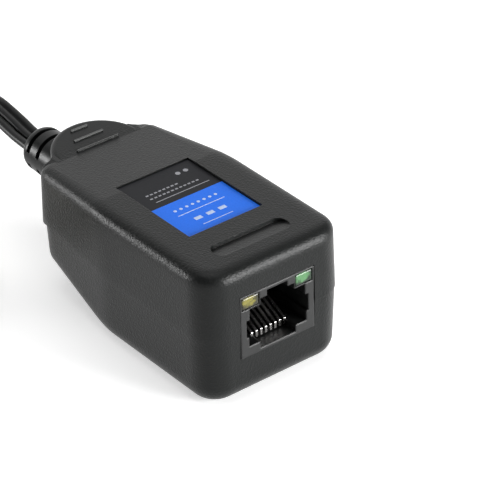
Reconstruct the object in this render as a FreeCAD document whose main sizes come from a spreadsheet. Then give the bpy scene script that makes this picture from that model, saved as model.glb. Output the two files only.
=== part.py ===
"""Video balun with an eight-way socket: a moulded body on two short leads.

Millimetres. X runs across the body, Y from the socket to the leads, Z up.
The body is drawn from its front face, in stations that count rearwards, and
FRONT then moves the front face so that the origin lies under the middle.
"""
import FreeCAD, Part

import math
import os
import sys

import Sketcher

V = FreeCAD.Vector

SIZES = {
    # moulded body, plan
    "body_width": 30.4,
    "body_length": 52.6,
    "tail_width": 25.6,
    "bend_station": 30.0,
    "corner_radius": 5.0,
    "bend_radius": 25.0,
    "tail_corner_radius": 2.4,
    "tail_foot_radius": 4.0,
    # moulded body, height
    "body_height": 26.4,
    "parting_height": 13.6,
    "parting_step": 0.08,
    "upper_draft": 0.9,
    "lower_draft": 1.8,
    "top_edge_radius": 2.0,
    "bottom_edge_radius": 3.5,
    "crease_radius": 20.0,
    "fall_station": 33.0,
    "grip_station": 50.5,
    "grip_fall": 1.6,
    "lift_station": 32.5,
    "tail_lift": 5.6,
    # rounded nose behind the body, with its thumb grip
    "nose_width": 18.2,
    "nose_length": 6.7,
    "nose_rise": 0.75,
    "nose_floor": 7.6,
    "nose_corner_radius": 9.0,
    "nose_edge_radius": 1.0,
    "nose_overlap": 8.0,
    "rib_length": 9.0,
    "rib_width": 0.5,
    "rib_height": 0.35,
    "rib_spacing": 2.9,
    "rib_shortening": 2.75,
    # slotted strain relief
    "boot_length": 11.5,
    "boot_root_radius": 4.6,
    "boot_tip_radius": 4.3,
    "boot_dome": 2.0,
    "boot_height": 15.8,
    "slot_width": 1.0,
    "slot_spacing": 3.0,
    "slot_station": 64.65,
    "slot_floor_radius": 3.1,
    "slot_sweep": 150.0,
    # label and finger scoop on the top
    "label_width": 15.6,
    "label_length": 21.0,
    "label_station": 13.9,
    "label_sink": 0.45,
    "label_thickness": 0.2,
    "label_gap": 0.12,
    "scoop_width": 15.8,
    "scoop_length": 4.0,
    "scoop_station": 5.1,
    "scoop_depth": 0.7,
    "scoop_radius": 1.8,
    # socket housing
    "jack_width": 15.9,
    "jack_height": 12.3,
    "jack_depth": 18.0,
    "jack_gap": 0.12,
    "jack_sink": 0.1,
    "board_top": 8.4,
    "mouth_depth": 14.6,
    "recess_width": 7.7,
    "recess_floor": 0.6,
    "ledge_width": 12.5,
    "ledge_height": 1.93,
    "side_width": 13.46,
    "side_floor": 3.8,
    "side_roof": 7.25,
    "upper_width": 12.1,
    "lamp_floor": 9.4,
    "tab_width": 7.4,
    "tab_shoulder": 10.6,
    "notch_width": 4.5,
    "notch_roof": 11.7,
    "peg_radius": 1.6,
    "peg_spread": 11.4,
    "peg_station": 8.9,
    "peg_length": 2.9,
    # indicator lamps
    "lamp_width": 3.6,
    "lamp_height": 2.2,
    "lamp_length": 4.6,
    "lamp_spread": 11.5,
    "lamp_centre": 10.75,
    "lamp_gap": 0.12,
    "lamp_leg": 0.5,
    "lamp_leg_pitch": 2.0,
    # contacts and their carrier
    "contact_count": 8,
    "contact_pitch": 1.02,
    "contact_width": 0.45,
    "contact_thickness": 0.3,
    "contact_front": 2.9,
    "contact_floor": 1.0,
    "contact_bend": 2.1,
    "contact_tip_station": 9.6,
    "contact_tip_height": 5.6,
    "contact_pin_station": 11.2,
    "contact_pin_stagger": 2.2,
    "contact_pin_length": 2.8,
    "contact_clearance": 0.08,
    "carrier_width": 10.2,
    "carrier_front": 3.6,
    "carrier_back": 14.4,
    "carrier_height": 1.9,
    "comb_station": 8.9,
    "comb_thickness": 1.3,
    "comb_height": 6.8,
    "carrier_gap": 0.1,
    # board
    "board_width": 20.6,
    "board_length": 42.0,
    "board_thickness": 1.6,
    "board_station": 2.4,
    "board_gap": 0.12,
    "hole_gap": 0.15,
    # hollow around the parts on the board
    "hollow_width": 20.0,
    "hollow_height": 11.4,
    "pin_hollow": 2.0,
    # transformer
    "coil_station": 28.5,
    "coil_offset": 4.4,
    "coil_radius": 3.3,
    "coil_height": 3.6,
    "spool_radius": 1.9,
    "spool_flange": 3.5,
    "spool_rim": 0.6,
    "core_width": 9.4,
    "core_length": 8.6,
    "core_wall": 1.2,
    "core_post": 1.35,
    "core_gap": 0.15,
    # surge arresters and small parts
    "surge_length": 4.4,
    "surge_width": 3.6,
    "surge_height": 2.3,
    "surge_station": 25.2,
    "surge_spacing": 5.4,
    "surge_offset": 5.6,
    "surge_tab": 0.9,
    "surge_tab_thickness": 0.3,
    "chip_length": 3.2,
    "chip_width": 1.6,
    "chip_height": 0.6,
    "chip_cap": 0.45,
    "chip_station": 22.4,
    "fuse_height": 1.0,
    # leads
    "lobe": 1.76,
    "lobe_gap": 0.1,
    "lead_gap": 0.06,
    "lead_inside": 7.4,
    # bayonet plug on the video lead, in distances from its lead end
    "plug_grip_length": 17.0,
    "plug_grip_tip": 2.1,
    "plug_grip_radius": 4.9,
    "plug_neck_radius": 4.1,
    "plug_flange_radius": 5.5,
    "plug_flange_start": 17.0,
    "plug_flange_width": 1.2,
    "clip_radius": 4.75,
    "ring_wall_width": 2.0,
    "ring_play": 0.3,
    "ring_clearance": 0.35,
    "ring_radius": 7.2,
    "ring_bore": 4.95,
    "ring_length": 13.4,
    "ring_slot": 2.2,
    "track_entry": 1.8,
    "track_depth": 6.2,
    "track_sweep": 4.4,
    "ring_flute": 0.35,
    "ring_flute_count": 16,
    "clip_width": 0.8,
    "nose_tube_radius": 4.05,
    "nose_tube_bore": 3.5,
    "nose_slot_width": 0.5,
    "nose_slot_length": 4.5,
    "plug_length": 31.0,
    "plug_pin_radius": 0.68,
    "gasket_width": 1.4,
    "gasket_radius": 4.7,
    # power plug
    "power_grip_length": 20.0,
    "power_grip_tip": 2.6,
    "power_grip_radius": 5.0,
    "barrel_length": 9.5,
    "barrel_radius": 2.75,
    "barrel_wall": 0.55,
    "barrel_step": 0.35,
    "barrel_relief": 0.3,
    "socket_radius": 1.05,
    "socket_wall": 0.3,
    "barrel_start": 12.0,
    "seat": 0.05,
}

# Routes of the two leads, chosen by hand, from the strain relief to the plugs.
# The lowest points lie on the surface that the body stands on.
VIDEO_ROUTE = [
    (-1.86, 28.0, 15.8),
    (-1.86, 38.4, 15.8),
    (-0.5, 52.4, 15.7),
    (0.0, 64.0, 12.4),
    (-0.1, 74.8, 7.0),
    (-0.9, 84.0, 2.6),
    (-2.9, 91.4, 0.88),
    (-7.4, 96.8, 0.88),
    (-14.0, 98.9, 0.88),
    (-20.6, 97.0, 0.88),
    (-25.2, 91.4, 0.88),
    (-26.2, 83.0, 1.3),
    (-25.7, 74.0, 4.3),
    (-25.5, 65.2, 7.2),
    (-25.5, 56.2, 7.2),
]
POWER_ROUTE = [
    (0.88, 28.0, 15.8),
    (0.88, 38.4, 15.8),
    (2.35, 52.7, 15.8),
    (3.6, 64.9, 12.4),
    (4.9, 77.6, 6.2),
    (6.0, 88.3, 1.6),
    (6.9, 97.0, 0.9),
    (2.6, 104.6, 0.9),
    (-5.9, 108.2, 0.9),
    (-16.0, 108.3, 0.9),
    (-26.0, 106.6, 0.9),
    (-34.4, 101.4, 0.9),
    (-38.5, 92.6, 0.9),
    (-38.5, 82.6, 1.6),
    (-38.5, 71.4, 5.0),
    (-38.5, 60.4, 5.0),
]

doc = FreeCAD.newDocument("video_balun")
sheet = doc.addObject("Spreadsheet::Sheet", "dims")
for row, (name, size) in enumerate(SIZES.items(), start=1):
    sheet.set(f"A{row}", name)
    sheet.set(f"B{row}", str(size))
    sheet.setAlias(f"B{row}", name)
doc.recompute()

OVERALL = "(dims.body_length + dims.nose_length + dims.boot_length)"
FRONT = f"(-{OVERALL} / 2)"
FULL_TURN = 360
REACH = "40"
PRODUCT = []


def number(expression):
    """The value of an expression over the sheet's cells."""
    return float(sheet.evalExpression(expression))


def cell(name):
    return number(f"dims.{name}")


def keep(item, label):
    """Notes a finished sub-part, whose label names its file."""
    item.Label = label
    PRODUCT.append(item)
    return item


def place(item, across="0", along=FRONT, up="0"):
    """Binds an object's position to three expressions."""
    for axis, expression in zip("xyz", (across, along, up)):
        item.setExpression(f"Placement.Base.{axis}", expression)
    return item


def new_body(name):
    return doc.addObject("PartDesign::Body", name)


def sketch(body, name, role, offset=("0", "0", "0")):
    """A sketch on one of the body's own planes, moved along that plane's axes."""
    made = body.newObject("Sketcher::SketchObject", name)
    planes = body.Origin.OriginFeatures
    made.AttachmentSupport = [(next(p for p in planes if p.Role == role), "")]
    made.MapMode = "FlatFace"
    for axis, expression in zip("xyz", offset):
        made.setExpression(f"AttachmentOffset.Base.{axis}", expression)
    return made


def pin(made, line, end, corner):
    """Ties one end of a line to a pair of expressions, from the sketch's origin."""
    for kind, expression in zip(("DistanceX", "DistanceY"), corner):
        size = number(expression)
        index = made.addConstraint(Sketcher.Constraint(kind, -1, 1, line, end, size))
        made.setExpression(f"Constraints[{index}]", expression)


def polygon(made, corners):
    """A closed outline of straight sides between corners given as expressions."""
    points = [V(number(a), number(b), 0) for a, b in corners]
    ends = points[1:] + points[:1]
    lines = [made.addGeometry(Part.LineSegment(a, b), False) for a, b in zip(points, ends)]
    for line, after in zip(lines, lines[1:] + lines[:1]):
        made.addConstraint(Sketcher.Constraint("Coincident", line, 2, after, 1))
    for line, corner in zip(lines, corners):
        pin(made, line, 1, corner)
    return made


def outline(made, corners):
    """A closed convex outline, listed anticlockwise.

    A corner with a radius starts an arc; the others start straight sides.
    """
    points = [V(number(corner[0]), number(corner[1]), 0) for corner in corners]
    sides = []
    for corner, start, end in zip(corners, points, points[1:] + points[:1]):
        if len(corner) == 3:
            radius, chord = number(corner[2]), end - start
            bulge = radius - math.sqrt(radius ** 2 - chord.Length ** 2 / 4)
            outward = V(chord.y, -chord.x, 0).normalize() * bulge
            side = made.addGeometry(Part.Arc(start, start + chord / 2 + outward, end), False)
            index = made.addConstraint(Sketcher.Constraint("Radius", side, radius))
            made.setExpression(f"Constraints[{index}]", corner[2])
        else:
            side = made.addGeometry(Part.LineSegment(start, end), False)
        sides.append(side)
    for side, after in zip(sides, sides[1:] + sides[:1]):
        made.addConstraint(Sketcher.Constraint("Coincident", side, 2, after, 1))
    for side, corner in zip(sides, corners):
        pin(made, side, 1, corner[:2])
    return made


def open_line(made, corners):
    """A chain of straight runs between corners given as expressions."""
    points = [V(number(a), number(b), 0) for a, b in corners]
    pairs = zip(points, points[1:])
    lines = [made.addGeometry(Part.LineSegment(a, b), False) for a, b in pairs]
    for line, after in zip(lines, lines[1:]):
        made.addConstraint(Sketcher.Constraint("Coincident", line, 2, after, 1))
    for line, corner in zip(lines, corners):
        pin(made, line, 1, corner)
    pin(made, lines[-1], 2, corners[-1])
    return made


def rectangle(made, left, right, low, high):
    return polygon(made, [(left, low), (right, low), (right, high), (left, high)])


def mirrored(corners):
    """An outline from its right half, listed from the front to the back."""
    return corners + [(f"-({across})", along) for across, along in reversed(corners)]


def circle(made, across, along, radius):
    centre = V(number(across), number(along), 0)
    ring = made.addGeometry(Part.Circle(centre, V(0, 0, 1), number(radius)), False)
    pin(made, ring, 3, (across, along))
    index = made.addConstraint(Sketcher.Constraint("Radius", ring, number(radius)))
    made.setExpression(f"Constraints[{index}]", radius)
    return made


def feature(body, kind, name, profile, **settings):
    """A PartDesign feature; a setting given as text is bound as an expression."""
    made = body.newObject(f"PartDesign::{kind}", name)
    made.Profile = profile
    for setting, value in settings.items():
        if isinstance(value, str) and setting not in ("SideType", "Type", "Type2"):
            made.setExpression(setting, value)
        else:
            setattr(made, setting, value)
    return made


def pad(body, name, profile, length, **settings):
    return feature(body, "Pad", name, profile, Length=length, **settings)


def pocket(body, name, profile, length, **settings):
    return feature(body, "Pocket", name, profile, Length=length, **settings)


def turned(body, name, profile):
    """A full turn about the sketch's vertical axis."""
    made = feature(body, "Revolution", name, profile)
    made.ReferenceAxis = (profile, ["V_Axis"])
    made.Angle = FULL_TURN
    return made


def rounded(body, name, radius, chosen):
    """Fillets the edges of the body's last feature that the test picks out."""
    doc.recompute()
    base = body.Tip
    edges = enumerate(base.Shape.Edges, start=1)
    names = [f"Edge{index}" for index, edge in edges if chosen(base.Shape, edge)]
    made = body.newObject("PartDesign::Fillet", name)
    made.Base = (base, names)
    made.setExpression("Radius", radius)
    doc.recompute()
    return made


def middle(edge):
    return edge.valueAt((edge.FirstParameter + edge.LastParameter) / 2)


def upright(edge):
    """Whether an edge runs up the body more than along it."""
    run = edge.Vertexes[-1].Point - edge.Vertexes[0].Point
    return run.Length > 1 and abs(run.z) > 0.8 * run.Length


def across(edge):
    """Whether an edge runs straight across the body."""
    run = edge.Vertexes[-1].Point - edge.Vertexes[0].Point
    return run.Length > 1 and abs(run.x) > 0.99 * run.Length


def rims(shape, edge, way):
    """Whether an edge lies between a wall and a face that looks up (1) or down (-1)."""
    faces = shape.ancestorsOfType(edge, Part.Face)
    slopes = [f.normalAt(*f.Surface.parameter(middle(edge))).z * way for f in faces]
    return len(slopes) == 2 and max(slopes) > 0.9 and min(abs(s) for s in slopes) < 0.5


def box(name, across, along, up):
    """A block between pairs of expressions, in stations from the front face."""
    made = doc.addObject("Part::Box", name)
    for size, (low, high) in zip(("Length", "Width", "Height"), (across, along, up)):
        made.setExpression(size, f"({high}) - ({low})")
    return place(made, *(low for low, _ in (across, along, up)))


def rod(name, radius, length, across, along, up, rearwards=False):
    """A cylinder that stands up from a point, or runs rearwards from it."""
    made = doc.addObject("Part::Cylinder", name)
    made.setExpression("Radius", radius)
    made.setExpression("Height", length)
    if rearwards:
        made.Placement = FreeCAD.Placement(V(), FreeCAD.Rotation(V(1, 0, 0), -90))
    return place(made, across, along, up)


def fuse(name, parts):
    made = doc.addObject("Part::MultiFuse", name)
    made.Shapes = parts
    return made


def cut(name, base, tools):
    made = doc.addObject("Part::Cut", name)
    made.Base = base
    made.Tool = tools[0] if len(tools) == 1 else fuse(f"{name}_tools", tools)
    return made


def halves(width):
    """The two sides of something centred on the body's middle line."""
    return (f"-({width}) / 2", f"({width}) / 2")


def top_at(station):
    """Height of the body's top, which falls behind the bend."""
    slope = "dims.grip_fall / (dims.grip_station - dims.fall_station)"
    return f"dims.body_height - ({station} - dims.fall_station) * {slope}"


def underside_at(station):
    """Height of the underside, which lifts towards the tail."""
    slope = "dims.tail_lift / (dims.body_length - dims.lift_station)"
    return f"({station} - dims.lift_station) * {slope}"


TAIL_END = "(dims.body_length + dims.nose_length)"
GRIP_HEIGHT = "(dims.body_height - dims.grip_fall)"
GRIP_SLOPE = f"(dims.nose_rise / ({TAIL_END} - dims.grip_station))"


def drafted(body, name, block, way, angle):
    """Leans the block's walls inwards, away from the parting line."""
    doc.recompute()
    walls, parting = [], ""
    for index, face in enumerate(block.Shape.Faces, start=1):
        facing = face.normalAt(*face.Surface.parameter(face.CenterOfMass)).z * way
        if abs(facing) < 0.5:
            walls.append(f"Face{index}")
        elif facing < 0:
            parting = f"Face{index}"
    made = body.newObject("PartDesign::Draft", name)
    made.Base = (block, walls)
    made.NeutralPlane = (block, [parting])
    made.Reversed = way < 0
    made.setExpression("Angle", angle)
    body.Tip = made
    return made


def moulding_half(name, way, height, draft, inset, slope, tail_radius, edge_radius):
    """One half of the block, up (1) or down (-1) from the parting line.

    Its outline narrows away from that line, and its far side follows the slope.
    """
    body = new_body(f"{name}_half")
    plan = sketch(body, f"{name}_plan", "XY_Plane", ("0", "0", "dims.parting_height"))
    half = f"(dims.body_width / 2 - {inset})"
    tail = f"(dims.tail_width / 2 - {inset})"
    back = f"(dims.body_length - {inset})"
    turn = f"atan(({half} - {tail}) / ({back} - dims.bend_station))"
    start = f"(dims.bend_station - dims.bend_radius * tan({turn} / 2))"
    beside = f"({half} - dims.bend_radius * (1 - cos({turn})))"
    end = f"({start} + dims.bend_radius * sin({turn}))"
    outline(plan, [(half, inset), (half, start, "dims.bend_radius"), (beside, end),
                   (tail, back), (f"-{tail}", back), (f"-{beside}", end, "dims.bend_radius"),
                   (f"-{half}", start), (f"-{half}", inset)])
    block = pad(body, f"{name}_block", plan, height, Reversed=way < 0)
    drafted(body, f"{name}_draft", block, way, draft)
    profile = sketch(body, f"{name}_profile", "YZ_Plane")
    polygon(profile, slope)
    pocket(body, f"{name}_slope", profile, "2 * dims.body_width", SideType="Symmetric")
    crease, rear = number(slope[0][0]), cell("body_length")
    if way < 0:
        rounded(body, f"{name}_crease", "dims.crease_radius",
                lambda s, e: across(e) and abs(middle(e).y - crease) < 0.1)
    rounded(body, f"{name}_corners", "dims.corner_radius",
            lambda s, e: upright(e) and middle(e).y < 3)
    rounded(body, f"{name}_tail_corners", tail_radius,
            lambda s, e: upright(e) and middle(e).y > rear - 2)
    rounded(body, f"{name}_edges", edge_radius, lambda s, e: rims(s, e, way))
    return body


def main_block():
    """The body's two halves, which meet at a fine parting step."""
    beyond = f"({TAIL_END} + 5)"
    high = "(dims.body_height + 5)"
    upper = moulding_half(
        "upper", 1, "dims.body_height - dims.parting_height", "dims.upper_draft", "0",
        [("dims.fall_station", "dims.body_height"), (beyond, top_at(beyond)),
         (beyond, high), ("dims.fall_station", high)],
        "dims.tail_corner_radius", "dims.top_edge_radius")
    lower = moulding_half(
        "lower", -1, "dims.parting_height", "dims.lower_draft", "dims.parting_step",
        [("dims.lift_station", "0"), ("dims.lift_station", "-5"),
         (beyond, "-5"), (beyond, underside_at(beyond))],
        "dims.tail_foot_radius", "dims.bottom_edge_radius")
    return [upper, lower]


def tail_nose():
    """The half-round nose, whose top ramps up again towards the strain relief."""
    body = new_body("nose_block")
    start = "(dims.body_length - dims.nose_overlap)"
    ramp = f"{GRIP_HEIGHT} + ({start} - dims.grip_station) * {GRIP_SLOPE}"
    peak = f"{GRIP_HEIGHT} + dims.nose_rise"
    profile = sketch(body, "nose_profile", "YZ_Plane")
    polygon(profile, [(start, "dims.nose_floor"), (TAIL_END, "dims.nose_floor"),
                      (TAIL_END, peak), (start, ramp)])
    pad(body, "nose", profile, "dims.nose_width", SideType="Symmetric")
    end = number(TAIL_END)
    rounded(body, "nose_corners", "dims.nose_corner_radius",
            lambda s, e: upright(e) and middle(e).y > end - 1)
    rounded(body, "nose_rim", "dims.nose_edge_radius",
            lambda s, e: rims(s, e, 1) or rims(s, e, -1))
    return body


def strain_relief():
    """The slotted, domed strain relief, turned about the leads' line."""
    body = new_body("relief")
    start = f"({TAIL_END} - 4)"
    tip = OVERALL
    profile = sketch(body, "relief_profile", "XY_Plane")
    shoulder = f"({tip} - dims.boot_dome)"
    polygon(profile, [("0", start), ("dims.boot_root_radius", start),
                      ("dims.boot_root_radius", TAIL_END), ("dims.boot_tip_radius", shoulder),
                      ("dims.boot_tip_radius", tip), ("0", tip)])
    turned(body, "relief_form", profile)
    end = number(tip)
    rounded(body, "relief_dome", "0.95 * dims.boot_dome",
            lambda s, e: e.Closed and middle(e).y > end - 0.1)
    slots = sketch(body, "relief_slots", "YZ_Plane")
    for way in ("", "-"):
        for turn in range(2):
            near = f"dims.slot_station + {turn} * dims.slot_spacing"
            rectangle(slots, near, f"{near} + dims.slot_width",
                      f"{way}dims.slot_floor_radius", f"{way}(dims.boot_root_radius + 1)")
    groove = feature(body, "Groove", "relief_grooves", slots, Angle="dims.slot_sweep")
    groove.ReferenceAxis = (slots, ["H_Axis"])
    groove.Midplane = True
    return place(body, "0", "0", "dims.boot_height")


def housing_form():
    """The outside of the one-piece moulding, before it is hollowed."""
    return fuse("housing_form", main_block() + [tail_nose(), strain_relief()])


def rib(index):
    """One rib across the thumb grip; each is shorter than the one in front."""
    body = new_body(f"rib_{index}")
    first = "dims.rib_width"
    station = f"({first} + {index} * dims.rib_spacing)"
    plane = sketch(body, f"rib_plan_{index}", "XY_Plane")
    left, right = halves(f"(dims.rib_length - {index} * dims.rib_shortening)")
    rectangle(plane, left, right, station, f"{station} + dims.rib_width")
    pad(body, f"rib_form_{index}", plane, "2 * dims.rib_height", SideType="Symmetric")
    tip = cell("rib_height") - 0.01
    rounded(body, f"rib_round_{index}", "0.45 * dims.rib_width",
            lambda s, e: middle(e).z > tip and abs(middle(e).x) < 0.01)
    place(body, "0", "dims.grip_station", GRIP_HEIGHT)
    body.Placement = FreeCAD.Placement(body.Placement.Base, FreeCAD.Rotation(V(1, 0, 0), 1))
    body.setExpression("Placement.Rotation.Angle", f"atan({GRIP_SLOPE})")
    return body


def label_recess():
    across = halves("dims.label_width + 2 * dims.label_gap")
    along = ("dims.label_station - dims.label_gap",
             "dims.label_station + dims.label_length + dims.label_gap")
    return box("label_recess", across, along,
               ("dims.body_height - dims.label_sink - dims.label_thickness",
                "dims.body_height + 1"))


def finger_scoop():
    """A wedge in front of the label, deepest at its rear step."""
    body = new_body("scoop")
    angle = "asin(dims.scoop_depth / dims.scoop_length)"
    plan = sketch(body, "scoop_plan", "XY_Plane")
    left, right = halves("dims.scoop_width")
    rectangle(plan, left, right, "0", "dims.scoop_length")
    pad(body, "scoop_form", plan, "3")
    rounded(body, "scoop_corners", "dims.scoop_radius", lambda s, e: upright(e))
    place(body, "0", "dims.scoop_station", "dims.body_height")
    body.Placement = FreeCAD.Placement(body.Placement.Base, FreeCAD.Rotation(V(1, 0, 0), 1))
    body.setExpression("Placement.Rotation.Angle", f"-{angle}")
    return body


def board_slot():
    """The slot that grips the board on all its edges."""
    back = "dims.board_station + dims.board_length + dims.board_gap"
    return box("board_slot", halves("dims.board_width + 2 * dims.board_gap"),
               ("dims.board_station - dims.board_gap", back),
               ("dims.board_top - dims.board_thickness", "dims.board_top"))


def lead_channel():
    """The round and the flat channel that the leads are moulded into."""
    start = f"({OVERALL} - dims.lead_inside)"
    radius = "dims.lobe / 2 + dims.lead_gap"
    length = "dims.lead_inside + 1"
    web = box("lead_channel_web", ("0", "dims.lobe"), (start, f"{start} + {length}"),
              (f"dims.boot_height - ({radius})", f"dims.boot_height + {radius}"))
    return [web] + [rod(f"lead_channel_{name}", radius, length, across, start,
                        "dims.boot_height", rearwards=True)
                    for name, across in LOBES.items()]


def housing():
    """The moulding, cut out for the socket, the board, the leads and the label."""
    form = fuse("ribbed_form", [housing_form(), rib(0), rib(1), rib(2)])
    jack_top = "dims.board_top + dims.jack_height + dims.jack_gap"
    socket = box("socket_space", halves("dims.jack_width + 2 * dims.jack_gap"),
                 ("-1", "dims.jack_sink + dims.jack_depth + dims.jack_gap"),
                 ("dims.board_top", jack_top))
    back = "dims.board_station + dims.board_length"
    hollow = box("part_space", halves("dims.hollow_width"), ("dims.jack_depth - 1", back),
                 ("dims.board_top", "dims.board_top + dims.hollow_height"))
    pins = box("pin_space", halves("dims.jack_width"),
               ("dims.board_station + 3", "dims.jack_depth + 4"),
               ("dims.board_top - dims.board_thickness - dims.pin_hollow",
                "dims.board_top"))
    tools = [socket, hollow, pins, board_slot(), label_recess(), finger_scoop()]
    made = cut("housing_cut", form, tools + lead_channel())
    return keep(place(made), "housing")


def label():
    sheet_part = box("label_sheet", halves("dims.label_width"),
                     (f"{FRONT} + dims.label_station",
                      f"{FRONT} + dims.label_station + dims.label_length"),
                     ("dims.body_height - dims.label_sink - dims.label_thickness",
                      "dims.body_height - dims.label_sink"))
    return keep(sheet_part, "label")


def jack_shell():
    """Socket housing: a stepped mouth, two lamp windows and two locating pegs."""
    body = new_body("jack_body")
    face = sketch(body, "jack_face", "XZ_Plane", ("0", "0", "-dims.jack_sink"))
    left, right = halves("dims.jack_width")
    rectangle(face, left, right, "0", "dims.jack_height")
    pad(body, "jack_block", face, "dims.jack_depth", Reversed=True)
    mouth = sketch(body, "jack_mouth", "XZ_Plane", ("0", "0", "-dims.jack_sink"))
    steps = [("dims.recess_width", "dims.recess_floor"),
             ("dims.recess_width", "dims.ledge_height"),
             ("dims.ledge_width", "dims.ledge_height"),
             ("dims.ledge_width", "dims.side_floor"),
             ("dims.side_width", "dims.side_floor"),
             ("dims.side_width", "dims.side_roof"),
             ("dims.upper_width", "dims.side_roof"),
             ("dims.upper_width", "dims.lamp_floor"),
             ("dims.tab_width", "dims.lamp_floor"),
             ("dims.tab_width", "dims.tab_shoulder"),
             ("dims.notch_width", "dims.tab_shoulder"),
             ("dims.notch_width", "dims.notch_roof")]
    polygon(mouth, mirrored([(f"{width} / 2", height) for width, height in steps]))
    pocket(body, "jack_cavity", mouth, "dims.mouth_depth")
    lamps = sketch(body, "lamp_windows", "XZ_Plane", ("0", "0", "-dims.jack_sink"))
    low = "dims.lamp_centre - dims.lamp_height / 2 - dims.lamp_gap"
    high = "dims.lamp_centre + dims.lamp_height / 2 + dims.lamp_gap"
    for side in ("-", ""):
        centre = f"{side}dims.lamp_spread / 2"
        half = "(dims.lamp_width / 2 + dims.lamp_gap)"
        rectangle(lamps, f"{centre} - {half}", f"{centre} + {half}", low, high)
    pocket(body, "lamp_pockets", lamps, "dims.lamp_length + dims.lamp_gap")
    grooves = sketch(body, "lamp_grooves", "XZ_Plane", ("0", "0", "-dims.jack_sink"))
    for side in ("-", ""):
        centre = f"{side}dims.lamp_spread / 2"
        half = "(dims.lamp_leg_pitch / 2 + dims.lamp_leg)"
        rectangle(grooves, f"{centre} - {half}", f"{centre} + {half}",
                  "dims.lamp_centre - dims.lamp_leg", "dims.lamp_centre + dims.lamp_leg")
    pocket(body, "lamp_channels", grooves, REACH)
    base = sketch(body, "carrier_space", "XY_Plane")
    left, right = halves("dims.carrier_width + 2 * dims.carrier_gap")
    rectangle(base, left, right, "dims.carrier_front - dims.carrier_gap",
              "dims.carrier_back + dims.carrier_gap")
    pocket(body, "carrier_seat", base, "dims.ledge_height + dims.carrier_gap", Reversed=True)
    pegs = sketch(body, "peg_plan", "XY_Plane")
    for side in ("-", ""):
        circle(pegs, f"{side}dims.peg_spread / 2", "dims.peg_station", "dims.peg_radius")
    pad(body, "pegs", pegs, "dims.peg_length", Reversed=True)
    return keep(place(body, "0", FRONT, "dims.board_top"), "jack_shell")


def contact_across(index):
    return f"({index} - (dims.contact_count - 1) / 2) * dims.contact_pitch"


def contact_pin(index):
    """Station of a contact's pin; every other pin stands further back."""
    return f"(dims.contact_pin_station + {index % 2} * dims.contact_pin_stagger)"


def contact(index):
    """One spring contact, bent back over the carrier's front edge."""
    body = new_body(f"contact_{index + 1}_body")
    path = sketch(body, f"contact_path_{index + 1}", "YZ_Plane")
    back = contact_pin(index)
    open_line(path, [(back, "-dims.contact_pin_length"), (back, "dims.contact_floor"),
                     ("dims.contact_front", "dims.contact_floor"),
                     ("dims.contact_front", "dims.contact_bend"),
                     ("dims.contact_tip_station", "dims.contact_tip_height")])
    section = sketch(body, f"contact_section_{index + 1}", "XY_Plane",
                     ("0", back, "-dims.contact_pin_length"))
    left, right = halves("dims.contact_width")
    low, high = halves("dims.contact_thickness")
    rectangle(section, left, right, low, high)
    pipe = feature(body, "AdditivePipe", f"contact_form_{index + 1}", section)
    pipe.Spine = (path, [f"Edge{run}" for run in range(1, 5)])
    pipe.Transition = "Round corner"
    place(body, contact_across(index), FRONT, "dims.board_top")
    return keep(body, f"contact_{index + 1}")


def contact_carrier():
    """Slotted carrier with a comb that spaces the contacts' free ends."""
    base = box("carrier_base", halves("dims.carrier_width"),
               ("dims.carrier_front", "dims.carrier_back"), ("0", "dims.carrier_height"))
    comb_back = "dims.comb_station + dims.comb_thickness"
    comb = box("carrier_comb", halves("dims.carrier_width"),
               ("dims.comb_station", comb_back), ("0", "dims.comb_height"))
    half = "(dims.contact_width / 2 + dims.contact_clearance)"
    floor = "dims.contact_floor - dims.contact_thickness / 2 - dims.contact_clearance"
    tools = []
    for index in range(int(cell("contact_count"))):
        centre = contact_across(index)
        sides = (f"{centre} - {half}", f"{centre} + {half}")
        back = f"{contact_pin(index)} + dims.contact_thickness / 2 + dims.contact_clearance"
        tools.append(box(f"run_slot_{index}", sides, ("dims.carrier_front - 1", back),
                         (floor, "dims.comb_height + 1")))
        near = f"{contact_pin(index)} - dims.contact_thickness / 2 - dims.contact_clearance"
        tools.append(box(f"pin_slot_{index}", sides, (near, back), ("-1", floor)))
    made = cut("carrier_cut", fuse("carrier_form", [base, comb]), tools)
    return keep(place(made, "0", FRONT, "dims.board_top"), "contact_carrier")


def lamp(name, side):
    """A rectangular lamp with a softly rounded face, on two legs down to the board."""
    body = new_body(f"{name}_body")
    face = sketch(body, f"{name}_face", "XZ_Plane")
    left, right = halves("dims.lamp_width")
    low, high = halves("dims.lamp_height")
    rectangle(face, left, right, low, high)
    pad(body, f"{name}_block", face, "dims.lamp_length", Reversed=True)
    rounded(body, f"{name}_round", "0.3", lambda s, e: middle(e).y < 0.01)
    centre = f"{side}dims.lamp_spread / 2"
    front = "dims.jack_sink"
    height = "(dims.board_top + dims.lamp_centre)"
    place(body, centre, front, height)
    legs = []
    reach = "(dims.jack_sink + dims.jack_depth + 1.5 * dims.lamp_leg)"
    for way in ("-", ""):
        middle_line = f"({centre} {way or '+'} dims.lamp_leg_pitch / 2)"
        sides = (f"{middle_line} - dims.lamp_leg / 2", f"{middle_line} + dims.lamp_leg / 2")
        legs.append(box(f"{name}_leg_run{way}", sides,
                        ("dims.jack_sink + dims.lamp_length - 0.2", reach),
                        (f"{height} - dims.lamp_leg / 2", f"{height} + dims.lamp_leg / 2")))
        legs.append(box(f"{name}_leg_drop{way}", sides, (f"{reach} - dims.lamp_leg", reach),
                        ("dims.board_top - dims.board_thickness - 1",
                         f"{height} + dims.lamp_leg / 2")))
    return keep(place(fuse(f"{name}_fused", [body] + legs)), name)


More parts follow.
